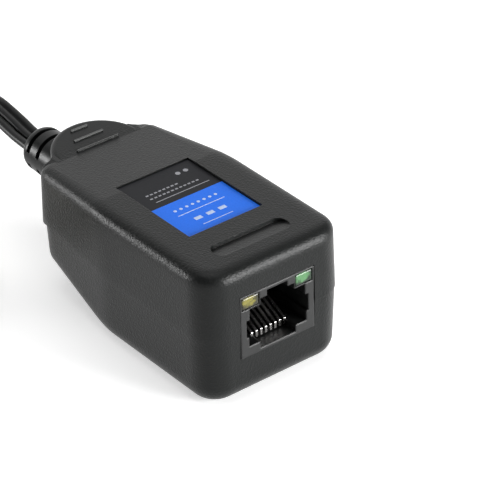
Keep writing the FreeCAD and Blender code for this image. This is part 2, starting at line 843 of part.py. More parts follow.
def circuit_board():
    back = "dims.board_station + dims.board_length"
    plate = box("board_plate", halves("dims.board_width"), ("dims.board_station", back),
                ("dims.board_top - dims.board_thickness", "dims.board_top"))
    low = "dims.board_top - dims.board_thickness - 1"
    deep = "dims.board_thickness + 2"
    tools = []
    for side in ("-", ""):
        tools.append(rod(f"peg_hole{side}", "dims.peg_radius + dims.hole_gap", deep,
                         f"{side}dims.peg_spread / 2", "dims.peg_station", low))
        for way in ("-", "+"):
            across = f"{side}dims.lamp_spread / 2 {way} dims.lamp_leg_pitch / 2"
            tools.append(rod(f"lamp_hole{side}{way}", "0.5 * dims.lamp_leg + dims.hole_gap + 0.1",
                             deep, across, "dims.jack_sink + dims.jack_depth + dims.lamp_leg",
                             low))
    for index in range(int(cell("contact_count"))):
        tools.append(rod(f"pin_hole_{index}", "0.5 * dims.contact_width + dims.hole_gap",
                         deep, contact_across(index), contact_pin(index), low))
    return keep(place(cut("board_cut", plate, tools)), "circuit_board")


def on_board(across, up="dims.board_top"):
    """Where something stands at the transformer's place."""
    return (across, f"{FRONT} + dims.coil_station", up)


def transformer():
    """Spool, winding and a two-part core that closes round them."""
    across = "-dims.coil_offset"
    spool = new_body("spool_body")
    flange = "dims.spool_flange"
    top = "dims.coil_height + 2 * dims.spool_rim"
    profile = sketch(spool, "spool_profile", "XZ_Plane")
    bore = "(dims.core_post + dims.core_gap)"
    polygon(profile, [(bore, "0"), (flange, "0"), (flange, "dims.spool_rim"),
                      ("dims.spool_radius", "dims.spool_rim"),
                      ("dims.spool_radius", f"{top} - dims.spool_rim"),
                      (flange, f"{top} - dims.spool_rim"), (flange, top), (bore, top)])
    turned(spool, "spool_form", profile)
    base = "dims.board_top + dims.core_wall + dims.core_gap"
    keep(place(spool, *on_board(across, base)), "transformer_spool")
    winding = new_body("winding_body")
    coil = sketch(winding, "winding_profile", "XZ_Plane")
    rectangle(coil, "dims.spool_radius + dims.seat", "dims.coil_radius",
              "dims.spool_rim + dims.seat", "dims.spool_rim + dims.coil_height - dims.seat")
    turned(winding, "winding_form", coil)
    keep(place(winding, *on_board(across, base)), "transformer_winding")
    half_height = f"(dims.core_wall + dims.core_gap + ({top}) / 2)"
    for name, turned_over in (("core_lower", False), ("core_upper", True)):
        plate = box(f"{name}_plate", halves("dims.core_width"), halves("dims.core_length"),
                    ("0", half_height))
        room = rod(f"{name}_room", "dims.spool_flange + dims.core_gap", "20",
                   "0", "0", "dims.core_wall")
        window = box(f"{name}_window", halves("1.6 * dims.spool_flange"),
                     halves("dims.core_length + 2"), ("dims.core_wall", f"{half_height} + 1"))
        open_core = cut(f"{name}_open", plate, [room, window])
        post = rod(f"{name}_post", "dims.core_post", half_height, "0", "0", "0")
        core = fuse(f"{name}_fused", [open_core, post])
        if turned_over:
            core.Placement = FreeCAD.Placement(V(), FreeCAD.Rotation(V(1, 0, 0), 180))
        height = f"dims.board_top + 2 * {half_height}" if turned_over else "dims.board_top"
        keep(place(core, *on_board(across, height)), f"transformer_{name}")


def surge_arrester(index):
    """A moulded block on two folded metal ends."""
    station = f"(dims.surge_station + {index} * dims.surge_spacing)"
    centre = "dims.surge_offset"
    half = "dims.surge_length / 2"
    across = (f"{centre} - {half}", f"{centre} + {half}")
    along = (station, f"{station} + dims.surge_width")
    lift = "(dims.board_top + dims.surge_tab_thickness)"
    block = box(f"surge_block_{index}", across, along, (lift, f"{lift} + dims.surge_height"))
    inner = (f"{station} + 0.2 * dims.surge_width", f"{station} + 0.8 * dims.surge_width")
    tabs = []
    for way, edge in (("-", across[0]), ("+", across[1])):
        back = "+" if way == "-" else "-"
        ends = sorted([f"{edge} {way} dims.surge_tab_thickness",
                       f"{edge} {back} dims.surge_tab"], key=number)
        tabs.append(box(f"surge_foot_{index}{way}", ends, inner, ("dims.board_top", lift)))
        side = sorted([f"{edge} {way} dims.surge_tab_thickness", edge], key=number)
        tabs.append(box(f"surge_fold_{index}{way}", side, inner,
                        (lift, f"{lift} + dims.surge_height / 2")))
    return keep(place(fuse(f"surge_{index}", [block] + tabs)), f"surge_arrester_{index + 1}")


def chip(name, across, height):
    """A small surface part: a body between two solderable caps."""
    half = "dims.chip_length / 2"
    sides = (f"{across} - {half}", f"{across} + {half}")
    along = ("dims.chip_station", "dims.chip_station + dims.chip_width")
    core = box(f"{name}_core", (f"{sides[0]} + 0.5 * dims.chip_cap",
                                f"{sides[1]} - 0.5 * dims.chip_cap"), along,
               ("dims.board_top + 0.02", f"dims.board_top + {height} - 0.02"))
    caps = [box(f"{name}_cap_{end}", (low, high), along,
                ("dims.board_top", f"dims.board_top + {height}"))
            for end, low, high in ((0, sides[0], f"{sides[0]} + dims.chip_cap"),
                                   (1, f"{sides[1]} - dims.chip_cap", sides[1]))]
    return keep(place(fuse(f"{name}_fused", [core] + caps)), name)


LOBES = {
    "video": "-(dims.lobe + dims.lobe_gap)",
    "power_near": "0",
    "power_far": "dims.lobe",
}


def tube(name, section, points):
    """A lead along its route: straight runs joined by tangent arcs.

    Each arc's radius is a share of the shorter run beside it, divided by the
    tangent of half the turn, so that the lead bends as gently as it can.
    """
    corners = [V(*point) for point in points]
    face = Part.Face(section)
    pieces, radii = [], []
    start, length = corners[0], 0
    for before, corner, after in zip(corners, corners[1:], corners[2:]):
        into, out = corner - before, after - corner
        turn = into.getAngle(out)
        reach = 0.45 * min(into.Length, out.Length)
        radius = reach / math.tan(turn / 2)
        first = corner - into.normalize() * reach
        last = corner + out.normalize() * reach
        inward = (last - corner).normalize() + (first - corner).normalize()
        centre = corner + inward.normalize() * (radius / math.cos(turn / 2))
        axis = into.cross(out)
        pieces.append(face.extrude(first - start))
        face.translate(first - start)
        pieces.append(face.revolve(centre, axis, math.degrees(turn)))
        face.rotate(centre, axis, math.degrees(turn))
        length += (first - start).Length + radius * turn
        radii.append(radius)
        start = last
    pieces.append(face.extrude(corners[-1] - start))
    length += (corners[-1] - start).Length
    made = doc.addObject("Part::Feature", name)
    made.Shape = pieces[0].multiFuse(pieces[1:])
    print(f"{name}: {length:.1f} mm long, volume {made.Shape.Volume:.1f} against "
          f"{face.Area * length:.1f} mm3, bends of {', '.join(f'{r:.0f}' for r in radii)} mm")
    return keep(made, name)


def ring_wire(centre, radius):
    return Part.Wire(Part.Circle(centre, V(0, 1, 0), radius).toShape())


def flat_wire(centre, radius, half_gap):
    """A stadium outline round two cores that lie side by side."""
    left, right = centre - V(half_gap, 0, 0), centre + V(half_gap, 0, 0)
    rise, side = V(0, 0, radius), V(radius, 0, 0)
    return Part.Wire([Part.LineSegment(left + rise, right + rise).toShape(),
                      Part.Arc(right + rise, right + side, right - rise).toShape(),
                      Part.LineSegment(right - rise, left - rise).toShape(),
                      Part.Arc(left - rise, left - side, left + rise).toShape()])


def leads():
    radius = cell("lobe") / 2
    tube("video_lead", ring_wire(V(*VIDEO_ROUTE[0]), radius), VIDEO_ROUTE)
    start = V(*POWER_ROUTE[0])
    tube("power_lead", flat_wire(start, radius, radius), POWER_ROUTE)


def plug_place(body, route, label):
    """Puts a turned plug part at the end of a lead, pointing forwards."""
    across, along, up = route[-1]
    body.Placement = FreeCAD.Placement(V(across, along, up), FreeCAD.Rotation())
    return keep(body, label)


def lathe(name, outline):
    """A turned part from pairs of radius and distance along the plug."""
    body = new_body(f"{name}_body")
    profile = sketch(body, f"{name}_profile", "XY_Plane")
    polygon(profile, [(radius, f"-({along})") for radius, along in outline])
    turned(body, f"{name}_form", profile)
    return body


def round_about(body, name, cutter, count):
    """Repeats a cut about the plug's own axis."""
    pattern = body.newObject("PartDesign::PolarPattern", name)
    pattern.Originals = [cutter]
    pattern.Axis = (next(p for p in body.Origin.OriginFeatures if p.Role == "Y_Axis"), [""])
    pattern.Angle = FULL_TURN
    pattern.setExpression("Occurrences", count)
    body.Tip = pattern
    return pattern


def video_plug():
    """Bayonet plug: grip, shell, insulator, pin, gasket and its turning ring."""
    end = "dims.plug_length"
    flange = "dims.plug_flange_start"
    neck = f"({flange} + dims.plug_flange_width)"
    wall = f"({neck} + dims.ring_play)"
    clip = f"({wall} + dims.ring_wall_width + dims.ring_play)"
    tube_start = f"({clip} + dims.clip_width)"
    bore = "dims.nose_tube_bore"
    grip = lathe("plug_grip", [
        ("0", "0"), ("dims.plug_grip_tip", "0"),
        ("dims.plug_grip_radius * 0.78", "dims.plug_grip_length * 0.45"),
        ("dims.plug_grip_radius", "dims.plug_grip_length * 0.62"),
        ("dims.plug_grip_radius", "dims.plug_grip_length"),
        ("dims.plug_neck_radius + dims.seat", "dims.plug_grip_length"),
        ("dims.plug_neck_radius + dims.seat", "dims.plug_grip_length - 4"),
        ("0", "dims.plug_grip_length - 4")])
    rounded(grip, "plug_grip_round", "0.8", lambda s, e: e.Closed
            and abs(middle(e).y + cell("plug_grip_length") * 0.62) < 0.01)
    plug_place(grip, VIDEO_ROUTE, "video_plug_grip")
    shell_root = "dims.plug_grip_length - 4"
    shell = lathe("plug_shell", [
        (bore, shell_root), ("dims.plug_neck_radius", shell_root),
        ("dims.plug_neck_radius", flange), ("dims.plug_flange_radius", flange),
        ("dims.plug_flange_radius", neck), ("dims.plug_neck_radius", neck),
        ("dims.plug_neck_radius", clip), ("dims.clip_radius", clip),
        ("dims.clip_radius", tube_start), ("dims.nose_tube_radius", tube_start),
        ("dims.nose_tube_radius", end), (bore, end)])
    fingers = sketch(shell, "finger_slots", "XY_Plane")
    left, right = halves("dims.nose_slot_width")
    rectangle(fingers, left, right, f"-({end} + 1)", f"-({end} - dims.nose_slot_length)")
    slit = pocket(shell, "finger_slot", fingers, "dims.nose_tube_radius + 1", Reversed=True)
    round_about(shell, "nose_fingers", slit, "4")
    plug_place(shell, VIDEO_ROUTE, "video_plug_shell")
    insulator = lathe("plug_insulator", [
        ("dims.plug_pin_radius + dims.seat", shell_root), (f"{bore} - dims.seat", shell_root),
        (f"{bore} - dims.seat", f"{end} - 6"),
        ("dims.plug_pin_radius + dims.seat", f"{end} - 6")])
    plug_place(insulator, VIDEO_ROUTE, "video_plug_insulator")
    plug_pin = lathe("plug_pin", [
        ("0", shell_root), ("dims.plug_pin_radius", shell_root),
        ("dims.plug_pin_radius", f"{end} - 1.6"), ("0.25 * dims.plug_pin_radius", f"{end} - 0.6"),
        ("0", f"{end} - 0.6")])
    plug_place(plug_pin, VIDEO_ROUTE, "video_plug_pin")
    gasket = lathe("plug_gasket", [
        ("dims.nose_tube_radius + dims.seat", f"{tube_start} + dims.seat"),
        ("dims.gasket_radius", f"{tube_start} + dims.seat"),
        ("dims.gasket_radius", f"{tube_start} + dims.gasket_width"),
        ("dims.nose_tube_radius + dims.seat", f"{tube_start} + dims.gasket_width")])
    plug_place(gasket, VIDEO_ROUTE, "video_plug_gasket")
    coupling_ring(wall)


def coupling_ring(wall):
    """The ring that turns on the shell: two curved slots lead to locking holes."""
    inner_wall = f"({wall} + dims.ring_wall_width)"
    mouth = f"({wall} + dims.ring_length)"
    ring = lathe("coupling", [
        ("dims.plug_neck_radius + dims.ring_clearance", wall),
        ("dims.ring_radius", wall), ("dims.ring_radius", mouth),
        ("dims.ring_bore", mouth), ("dims.ring_bore", inner_wall),
        ("dims.plug_neck_radius + dims.ring_clearance", inner_wall)])
    end = number(mouth)
    rounded(ring, "coupling_round", "0.4", lambda s, e: e.Closed
            and abs(e.Curve.Radius - cell("ring_radius")) < 0.01)
    flutes = sketch(ring, "flute_plan", "XZ_Plane", ("0", "0", wall))
    circle(flutes, "dims.ring_radius + 0.25", "0", "dims.ring_flute + 0.25")
    flute = pocket(ring, "flute", flutes, "0.62 * dims.ring_length", Reversed=True)
    flute.Length2 = 0
    round_about(ring, "flutes", flute, "dims.ring_flute_count")
    near, far = (f"(dims.track_sweep {way} dims.ring_slot) / 2" for way in "-+")
    tracks = sketch(ring, "track_plan", "XY_Plane")
    entry, lock = f"({mouth} - dims.track_entry)", f"({mouth} - dims.track_depth)"
    polygon(tracks, [(f"-{far}", f"-({mouth} + 1)"), (f"-{near}", f"-({mouth} + 1)"),
                     (f"-{near}", f"-({entry} + 0.8)"), (far, f"-({lock} + dims.ring_slot)"),
                     (far, f"-{lock}"), (near, f"-{lock}"), (f"-{far}", f"-({entry} - 0.8)")])
    track = pocket(ring, "track", tracks, "dims.ring_radius + 1", Reversed=True)
    round_about(ring, "tracks", track, "2")
    plug_place(ring, VIDEO_ROUTE, "video_plug_coupling")


def power_plug():
    """Coaxial power plug: grip, outer barrel, insulating sleeve and inner socket."""
    start = "dims.barrel_start"
    end = "(dims.power_grip_length + dims.barrel_length)"
    outer = "dims.barrel_radius"
    root = "(dims.barrel_radius - dims.barrel_step)"
    liner = "(dims.barrel_radius - dims.barrel_wall)"
    inner = "(dims.socket_radius + dims.socket_wall)"
    grip = lathe("power_grip", [
        ("0", "0"), ("dims.power_grip_tip", "0"),
        ("dims.power_grip_tip * 1.15", "dims.power_grip_length * 0.3"),
        ("dims.power_grip_radius", "dims.power_grip_length * 0.42"),
        ("dims.power_grip_radius", "dims.power_grip_length"),
        (f"{root} + dims.seat", "dims.power_grip_length"),
        (f"{root} + dims.seat", start), ("0", start)])
    grip_end = cell("power_grip_length")
    rounded(grip, "power_grip_round", "0.6", lambda s, e: e.Closed
            and abs(middle(e).y + grip_end) < 0.01
            and abs(e.Curve.Radius - cell("power_grip_radius")) < 0.01)
    plug_place(grip, POWER_ROUTE, "power_plug_grip")
    step = "(dims.power_grip_length + dims.barrel_relief)"
    barrel = lathe("power_barrel", [(liner, start), (root, start), (root, step),
                                    (outer, step), (outer, end), (liner, end)])
    plug_place(barrel, POWER_ROUTE, "power_plug_barrel")
    sleeve = lathe("power_sleeve", [
        (f"{inner} + dims.seat", start), (f"{liner} - dims.seat", start),
        (f"{liner} - dims.seat", f"{end} - 0.3"), (f"{inner} + dims.seat", f"{end} - 0.3")])
    plug_place(sleeve, POWER_ROUTE, "power_plug_sleeve")
    socket = lathe("power_socket", [
        ("dims.socket_radius", start), (inner, start), (inner, f"{end} - 0.6"),
        ("dims.socket_radius", f"{end} - 0.6")])
    plug_place(socket, POWER_ROUTE, "power_plug_socket")


housing()
label()
jack_shell()
contact_carrier()
for number_of_contact in range(int(cell("contact_count"))):
    contact(number_of_contact)
lamp("lamp_yellow", "-")
lamp("lamp_green", "")
circuit_board()
transformer()
surge_arrester(0)
surge_arrester(1)
chip("line_resistor", "-6", "dims.chip_height")
chip("line_capacitor", "-1.4", "dims.fuse_height")
leads()
video_plug()
power_plug()

doc.recompute()
faulty = [item.Label for item in doc.Objects if {"Invalid", "Error"} & set(item.State)]
faulty += [item.Label for item in PRODUCT if item.Shape.isNull() or not item.Shape.isValid()]
if faulty:
    sys.exit(f"these did not build: {', '.join(faulty)}")
os.makedirs("parts", exist_ok=True)
for item in PRODUCT:
    item.Shape.exportStep(os.path.join("parts", f"{item.Label}.step"))
print(f"{len(PRODUCT)} sub-parts written")
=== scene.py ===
# %% [markdown]
# # A video balun, dressed for its picture
#
# This is a small moulded block that sends a camera's picture down a network
# cable.  A socket with two lamps sits in its front, a label on its top, and
# two short leads leave through a slotted strain relief at the back.  The
# solids come from the construction files and are never moved here.  This
# lesson gives them their looks: the grain of the moulding, the printed film,
# the bright springs, the soft leads and the studio that the picture is taken in.

# %% Tools and the frame
import math

import bmesh
import bpy
from mathutils import Matrix, Vector


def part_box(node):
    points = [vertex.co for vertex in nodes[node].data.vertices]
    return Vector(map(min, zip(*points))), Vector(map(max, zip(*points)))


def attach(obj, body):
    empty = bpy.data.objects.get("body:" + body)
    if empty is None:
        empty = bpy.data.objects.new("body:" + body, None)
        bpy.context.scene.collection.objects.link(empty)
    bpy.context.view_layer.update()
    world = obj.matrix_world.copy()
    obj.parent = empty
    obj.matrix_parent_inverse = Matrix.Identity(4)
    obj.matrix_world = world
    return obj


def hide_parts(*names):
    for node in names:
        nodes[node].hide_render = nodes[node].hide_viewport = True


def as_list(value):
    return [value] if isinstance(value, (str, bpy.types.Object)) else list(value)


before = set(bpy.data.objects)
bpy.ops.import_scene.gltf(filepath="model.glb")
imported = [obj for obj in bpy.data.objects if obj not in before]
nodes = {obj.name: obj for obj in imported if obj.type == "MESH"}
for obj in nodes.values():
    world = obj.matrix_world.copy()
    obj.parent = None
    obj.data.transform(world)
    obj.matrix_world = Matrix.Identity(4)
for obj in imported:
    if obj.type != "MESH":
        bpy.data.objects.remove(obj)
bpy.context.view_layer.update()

MM = 0.001
scene = bpy.context.scene

# %% [markdown]
# ## Colours as a maker writes them
#
# A moulder or printer gives a colour as a hex number, as it looks on a screen.
# Blender's shaders work on linear light, so one function turns each channel
# back to linear, and every colour in this lesson goes through it.

# %% From hex to linear light


def linear(colour):
    """The linear red, green, blue and alpha of an sRGB hex colour."""
    shares = [int(colour[i:i + 2], 16) / 255 for i in (1, 3, 5)]
    light = [s / 12.92 if s <= 0.04045 else ((s + 0.055) / 1.055) ** 2.4 for s in shares]
    return (*light, 1.0)


print("mid grey in linear light:", linear("#808080")[0])

# %% [markdown]
# ## The camera
#
# The picture is a product shot with a long lens, from the front left and from
# above, so that the socket, the label and the leads all show.  The camera's
# place was worked out from the socket, whose contacts stand at a known pitch.
# It is a little rolled, as a hand-held shot is.

# %% Camera at the picture's place
AZIMUTH, ELEVATION, ROLL = (math.radians(a) for a in (-37.559, 32.566, -1.539))
DISTANCE = 0.5                           # m
LENS = 207.88                            # mm
FILM = 36                                # mm
LOOK_AT = Vector((0, -15.4, 18.4)) * MM  # inside the body, behind the socket
ASIDE, ABOVE = 7.706 * MM, -1.023 * MM   # from there to the middle of the picture

back = Vector((math.sin(AZIMUTH) * math.cos(ELEVATION),
               -math.cos(AZIMUTH) * math.cos(ELEVATION), math.sin(ELEVATION)))
right = Vector((math.cos(AZIMUTH), math.sin(AZIMUTH), 0))
upward = back.cross(right)
aim = LOOK_AT + right * ASIDE + upward * ABOVE
rolled_right = right * math.cos(ROLL) + upward * math.sin(ROLL)
rolled_up = upward * math.cos(ROLL) - right * math.sin(ROLL)

camera = bpy.data.objects.new("camera", bpy.data.cameras.new("camera"))
camera.data.lens = LENS
camera.data.sensor_width = FILM
camera.data.clip_start, camera.data.clip_end = 0.02, 20
turn = Matrix((rolled_right, rolled_up, back)).transposed().to_4x4()
camera.matrix_world = Matrix.Translation(aim + back * DISTANCE) @ turn
scene.collection.objects.link(camera)
scene.camera = camera
print("camera stands at", [round(v, 4) for v in camera.matrix_world.translation])

# %% [markdown]
# ## A helper for node trees
#
# A material is a small circuit of nodes.  One function adds a node, sets its
# properties, fills its inputs and links what feeds it, so that each recipe
# below reads as a list of what the surface is made of.

# %% One node at a time


def add_node(tree, kind, settings=None, inputs=None, links=None):
    """Adds a node, with its settings, its input values and what feeds it."""
    node = tree.nodes.new(kind)
    for name, value in (settings or {}).items():
        setattr(node, name, value)
    for name, value in (inputs or {}).items():
        node.inputs[name].default_value = value
    for name, source in (links or {}).items():
        tree.links.new(source, node.inputs[name])
    return node


def new_finish(name):
    """An empty material and its output node."""
    finish = bpy.data.materials.new(name)
    finish.use_nodes = True
    finish.node_tree.nodes.clear()
    output = add_node(finish.node_tree, "ShaderNodeOutputMaterial")
    return finish, finish.node_tree, output


def wear(finish, *names):
    """Gives a finish to these nodes."""
    for name in names:
        nodes[name].data.materials.clear()
        nodes[name].data.materials.append(finish)


# %% [markdown]
# ## The leads
#
# Two soft leads leave the strain relief side by side: a round one for the
# picture and a flat pair for the power.  Each falls to the table, turns back
# beside the body and ends in its plug, out of the picture.  A cable lies on a
# smooth curve of a fixed length, so its line is a NURBS curve that a few
# given points pull on, and its sheath is a section carried along it.

# %% Routes of the leads
VIDEO_ROUTE = [(-1.86, 28.0, 15.8), (-1.86, 38.4, 15.8), (-1.4, 44.5, 16.25),
               (-1.1, 53.5, 17.4), (0.0, 64.0, 12.4), (-0.1, 74.8, 7.0),
               (-0.9, 84.0, 2.6), (-2.9, 91.4, 0.88), (-7.4, 96.8, 0.88),
               (-14.0, 98.9, 0.88), (-20.6, 97.0, 0.88), (-25.2, 91.4, 0.88), (-26.2, 83.0, 1.3),
               (-25.7, 74.0, 4.3), (-25.5, 65.2, 7.2), (-25.5, 56.2, 7.2)]
POWER_ROUTE = [(0.88, 28.0, 15.8), (0.88, 38.4, 15.8), (1.3, 44.5, 16.75),
               (1.4, 53.5, 17.85), (3.6, 64.9, 12.4), (4.9, 77.6, 6.2),
               (6.0, 88.3, 1.6), (6.9, 97.0, 0.9), (2.6, 104.6, 0.9),
               (-5.9, 108.2, 0.9), (-16.0, 108.3, 0.9), (-26.0, 106.6, 0.9),
               (-34.4, 101.4, 0.9), (-38.5, 92.6, 0.9), (-38.5, 82.6, 1.6),
               (-38.5, 71.4, 5.0), (-38.5, 60.4, 5.0)]


def centre_line(name, route):
    """The points of a smooth line that a route's points pull on, in metres."""
    curve = bpy.data.curves.new(name, "CURVE")
    curve.dimensions = "3D"
    curve.resolution_u = 12
    spline = curve.splines.new("NURBS")
    spline.points.add(len(route) - 1)
    for point, spot in zip(spline.points, route):
        point.co = (*(s * MM for s in spot), 1)
    spline.order_u = 3
    spline.use_endpoint_u = True
    holder = bpy.data.objects.new(name, curve)
    scene.collection.objects.link(holder)
    bpy.context.view_layer.update()
    line = bpy.data.meshes.new_from_object(holder)
    spots = [v.co.copy() for v in line.vertices]
    bpy.data.objects.remove(holder)
    bpy.data.curves.remove(curve)
    bpy.data.meshes.remove(line)
    return spots


def line_length(spots):
    """The length of a line through these spots."""
    return sum((b - a).length for a, b in zip(spots, spots[1:]))


video_line = centre_line("video_line", VIDEO_ROUTE)
power_line = centre_line("power_line", POWER_ROUTE)
print("video lead:", round(line_length(video_line) / MM, 1), "mm,",
      "power lead:", round(line_length(power_line) / MM, 1), "mm")

# %% [markdown]
# The sheath of the round lead is a circle, and the flat pair is two circles
# that share a thin web, like a figure of eight.  Both stay level across the
# line, as a flat pair does where it leaves a strain relief.

# %% Sections of the sheaths
LOBE = 0.88 * MM  # radius of one strand


def round_section(radius, count=20):
    """A circle, as places across and over a lead's line."""
    return [(radius * math.cos(t), radius * math.sin(t))
            for t in (2 * math.pi * i / count for i in range(count))]


def pair_section(radius, count=12, web=0.3):
    """Two joined circles, side by side; web is half its height over the radius."""
    neck = math.asin(web)
    arc = [neck + (2 * math.pi - 2 * neck) * i / count for i in range(count + 1)]
    far = [(radius - radius * math.cos(t), radius * math.sin(t)) for t in arc]
    near = [(-a, -b) for a, b in far]
    return far + near


print("points round a sheath:", len(round_section(LOBE)), "and", len(pair_section(LOBE)))

# %% Sheaths along the lines


def sheath(name, spots, section):
    """A closed sheath whose section follows the spots and stays level."""
    mesh = bpy.data.meshes.new(name)
    form = bmesh.new()
    along = form.loops.layers.uv.new("run")
    rings = []
    run = [0.0]
    for a, b in zip(spots, spots[1:]):
        run.append(run[-1] + (b - a).length)
    last = len(spots) - 1
    for i, spot in enumerate(spots):
        way = (spots[min(i + 1, last)] - spots[max(i - 1, 0)]).normalized()
        side = way.cross(Vector((0, 0, 1))).normalized()
        over = side.cross(way).normalized()
        rings.append([form.verts.new(spot + side * a + over * b) for a, b in section])
    size = len(section)
    for i, (ring, following) in enumerate(zip(rings, rings[1:])):
        for j in range(size):
            k = (j + 1) % size
            face = form.faces.new((ring[j], ring[k], following[k], following[j]))
            face.smooth = True
            places = ((i, j), (i, j + 1), (i + 1, j + 1), (i + 1, j))
            for loop, (r, s) in zip(face.loops, places):
                loop[along].uv = (run[r] / MM, s / size)
    form.faces.new(rings[0])
    form.faces.new(list(reversed(rings[-1])))
    bmesh.ops.recalc_face_normals(form, faces=form.faces)
    form.to_mesh(mesh)
    form.free()
    item = bpy.data.objects.new(name, mesh)
    scene.collection.objects.link(item)
    return item


video_sheath = sheath("video_sheath", video_line, round_section(LOBE))
power_sheath = sheath("power_sheath", power_line, pair_section(LOBE))
print("sheath faces:", len(video_sheath.data.polygons), len(power_sheath.data.polygons))

# %% [markdown]
# Each sheath hangs on the moulding and stands in for its lead in the solids,
# which is hidden.

# %% Sheaths in place of the leads
VIDEO_PLUG = [n for n in nodes if n.startswith("video_plug")]
POWER_PLUG = [n for n in nodes if n.startswith("power_plug")]
for item, line, node, plug, width in (
        (video_sheath, video_line, "video_lead", VIDEO_PLUG, 2 * LOBE),
        (power_sheath, power_line, "power_lead", POWER_PLUG, 4 * LOBE)):
    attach(item, "moulding")
    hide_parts(node)
    line_length(line)
    [tuple(spot) for spot in line]
    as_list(plug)
    print(item.name, "stands for", node, "and carries", len(plug), "plug pieces")

# %% [markdown]
# ## The moulded body
#
# The body is soft PVC, moulded over the finished electronics.  The mould's
# walls were eaten by sparks, which leaves a fine pebbled grain, so the black
# plastic has no mirror in it, only a broad sheen that sparkles where the
# surface turns.  The grain could be sculpted, but at a third of a millimetre
# a bump does it better.  The nose and the strain relief come from a smoother
# insert of the mould, so the grain fades there.

# %% Spark grain
GRAIN = 0.30                         # mm; the real grit is near 0.15 and would not show
PEBBLE = 1.3 * GRAIN                 # mm
GRAIN_DEPTH = 0.07                   # mm
SMOOTH_FROM, SMOOTH_TO = 16.0, 18.5  # mm along Y, where the smooth insert begins
INSERT_SHARE = 0.2                   # how much of the grain the insert has


def per_mm(size):
    """The texture scale at which one pattern step measures this many mm."""
    return 1 / (size * MM)


body_finish, tree, output = new_finish("spark_grained_pvc")
spot = add_node(tree, "ShaderNodeTexCoord").outputs["Object"]
along = add_node(tree, "ShaderNodeSeparateXYZ", links={0: spot})
grit = add_node(tree, "ShaderNodeTexNoise",
                inputs={"Scale": per_mm(GRAIN), "Detail": 2.0, "Roughness": 0.65},
                links={"Vector": spot})
pebble = add_node(tree, "ShaderNodeTexVoronoi", inputs={"Scale": per_mm(PEBBLE)},
                  links={"Vector": spot})
relief = add_node(tree, "ShaderNodeMath", {"operation": "MULTIPLY"},
                  links={0: grit.outputs[0], 1: pebble.outputs["Distance"]})
grained = add_node(tree, "ShaderNodeMapRange",
                   inputs={"From Min": SMOOTH_TO * MM, "From Max": SMOOTH_FROM * MM,
                           "To Min": INSERT_SHARE, "To Max": 1.0},
                   links={"Value": along.outputs["Y"]})
print("grain:", GRAIN, "mm apart,", GRAIN_DEPTH, "mm deep")

# %% [markdown]
# Most edges of the body keep the small radius that any mould leaves.  The
# outer rims were eased by hand when the mould was polished, which spreads
# their highlight.  Both are drawn by rounding the normal near an edge.  A mask
# keeps the wide rounding to the outer rims, away from the socket, the label
# and the scoop.

# %% Sharp edges and eased rims
EDGE = 0.10                # mm, what a mould leaves on a sharp edge
EASED = 3.0                # mm, how far the outer rims are eased
OUTER = 11.2               # mm from the middle; socket, label and scoop lie inside
FRONT = -32.2              # mm along Y; in front of this the top rim is eased too
WAIST, REACH = 13.2, 10.4  # mm; the socket's edges lie within this reach of the waist

sharp = add_node(tree, "ShaderNodeBevel", {"samples": 6}, {"Radius": EDGE * MM})
eased = add_node(tree, "ShaderNodeBevel", {"samples": 12}, {"Radius": EASED * MM})
outward = add_node(tree, "ShaderNodeMath", {"operation": "ABSOLUTE"},
                   links={0: along.outputs["X"]})
outer = add_node(tree, "ShaderNodeMath", {"operation": "GREATER_THAN"},
                 {1: OUTER * MM}, {0: outward.outputs[0]})
front = add_node(tree, "ShaderNodeMath", {"operation": "LESS_THAN"},
                 {1: FRONT * MM}, {0: along.outputs["Y"]})
level = add_node(tree, "ShaderNodeMath", {"operation": "COMPARE"},
                 {1: WAIST * MM, 2: REACH * MM}, {0: along.outputs["Z"]})
clear = add_node(tree, "ShaderNodeMath", {"operation": "SUBTRACT", "use_clamp": True},
                 links={0: front.outputs[0], 1: level.outputs[0]})
rim = add_node(tree, "ShaderNodeMath", {"operation": "MAXIMUM"},
               links={0: outer.outputs[0], 1: clear.outputs[0]})
edge = add_node(tree, "ShaderNodeMix", {"data_type": "VECTOR"},
                links={0: rim.outputs[0], 4: sharp.outputs[0], 5: eased.outputs[0]})
print("rims eased beyond", OUTER, "mm from the middle and in front of", FRONT, "mm")

# %% [markdown]
# The black has faint clouds in it, where the melt cooled unevenly.  The ribs
# on the nose stand proud and catch the light, and that highlight is painted
# on their tops as a pale grey.  The nose climbs towards the leads, so the mask
# for the tops is a band along a slope.

# %% Clouded black and a painted highlight on the ribs
FLOW_MARK = 9.0                    # mm, width of the faint clouds in the colour
NOSE_FRONT = 15.7                  # mm along Y
RIB_SLOPE = 0.086                  # the nose climbs this much towards the leads
RIB_LINE = 23.85                   # mm, the height of the rib tops, taken back to Y = 0
BAND_TOP = 0.12                    # mm over that line
HIGHLIGHT_START, HIGHLIGHT_FULL = -0.2, -0.06  # mm over that line

cloud = add_node(tree, "ShaderNodeTexNoise",
                 inputs={"Scale": per_mm(FLOW_MARK), "Detail": 3.0}, links={"Vector": spot})
black = add_node(tree, "ShaderNodeMix", {"data_type": "RGBA"},
                 {6: linear("#131514"), 7: linear("#191a1a")}, {0: cloud.outputs[0]})
on_nose = add_node(tree, "ShaderNodeMath", {"operation": "GREATER_THAN"},
                   {1: NOSE_FRONT * MM}, {0: along.outputs["Y"]})
crest = add_node(tree, "ShaderNodeMath", {"operation": "MULTIPLY_ADD"}, {1: -RIB_SLOPE},
                 {0: along.outputs["Y"], 2: along.outputs["Z"]})
below = add_node(tree, "ShaderNodeMath", {"operation": "LESS_THAN"},
                 {1: (RIB_LINE + BAND_TOP) * MM}, {0: crest.outputs[0]})
here = add_node(tree, "ShaderNodeMath", {"operation": "MULTIPLY"},
                links={0: on_nose.outputs[0], 1: below.outputs[0]})
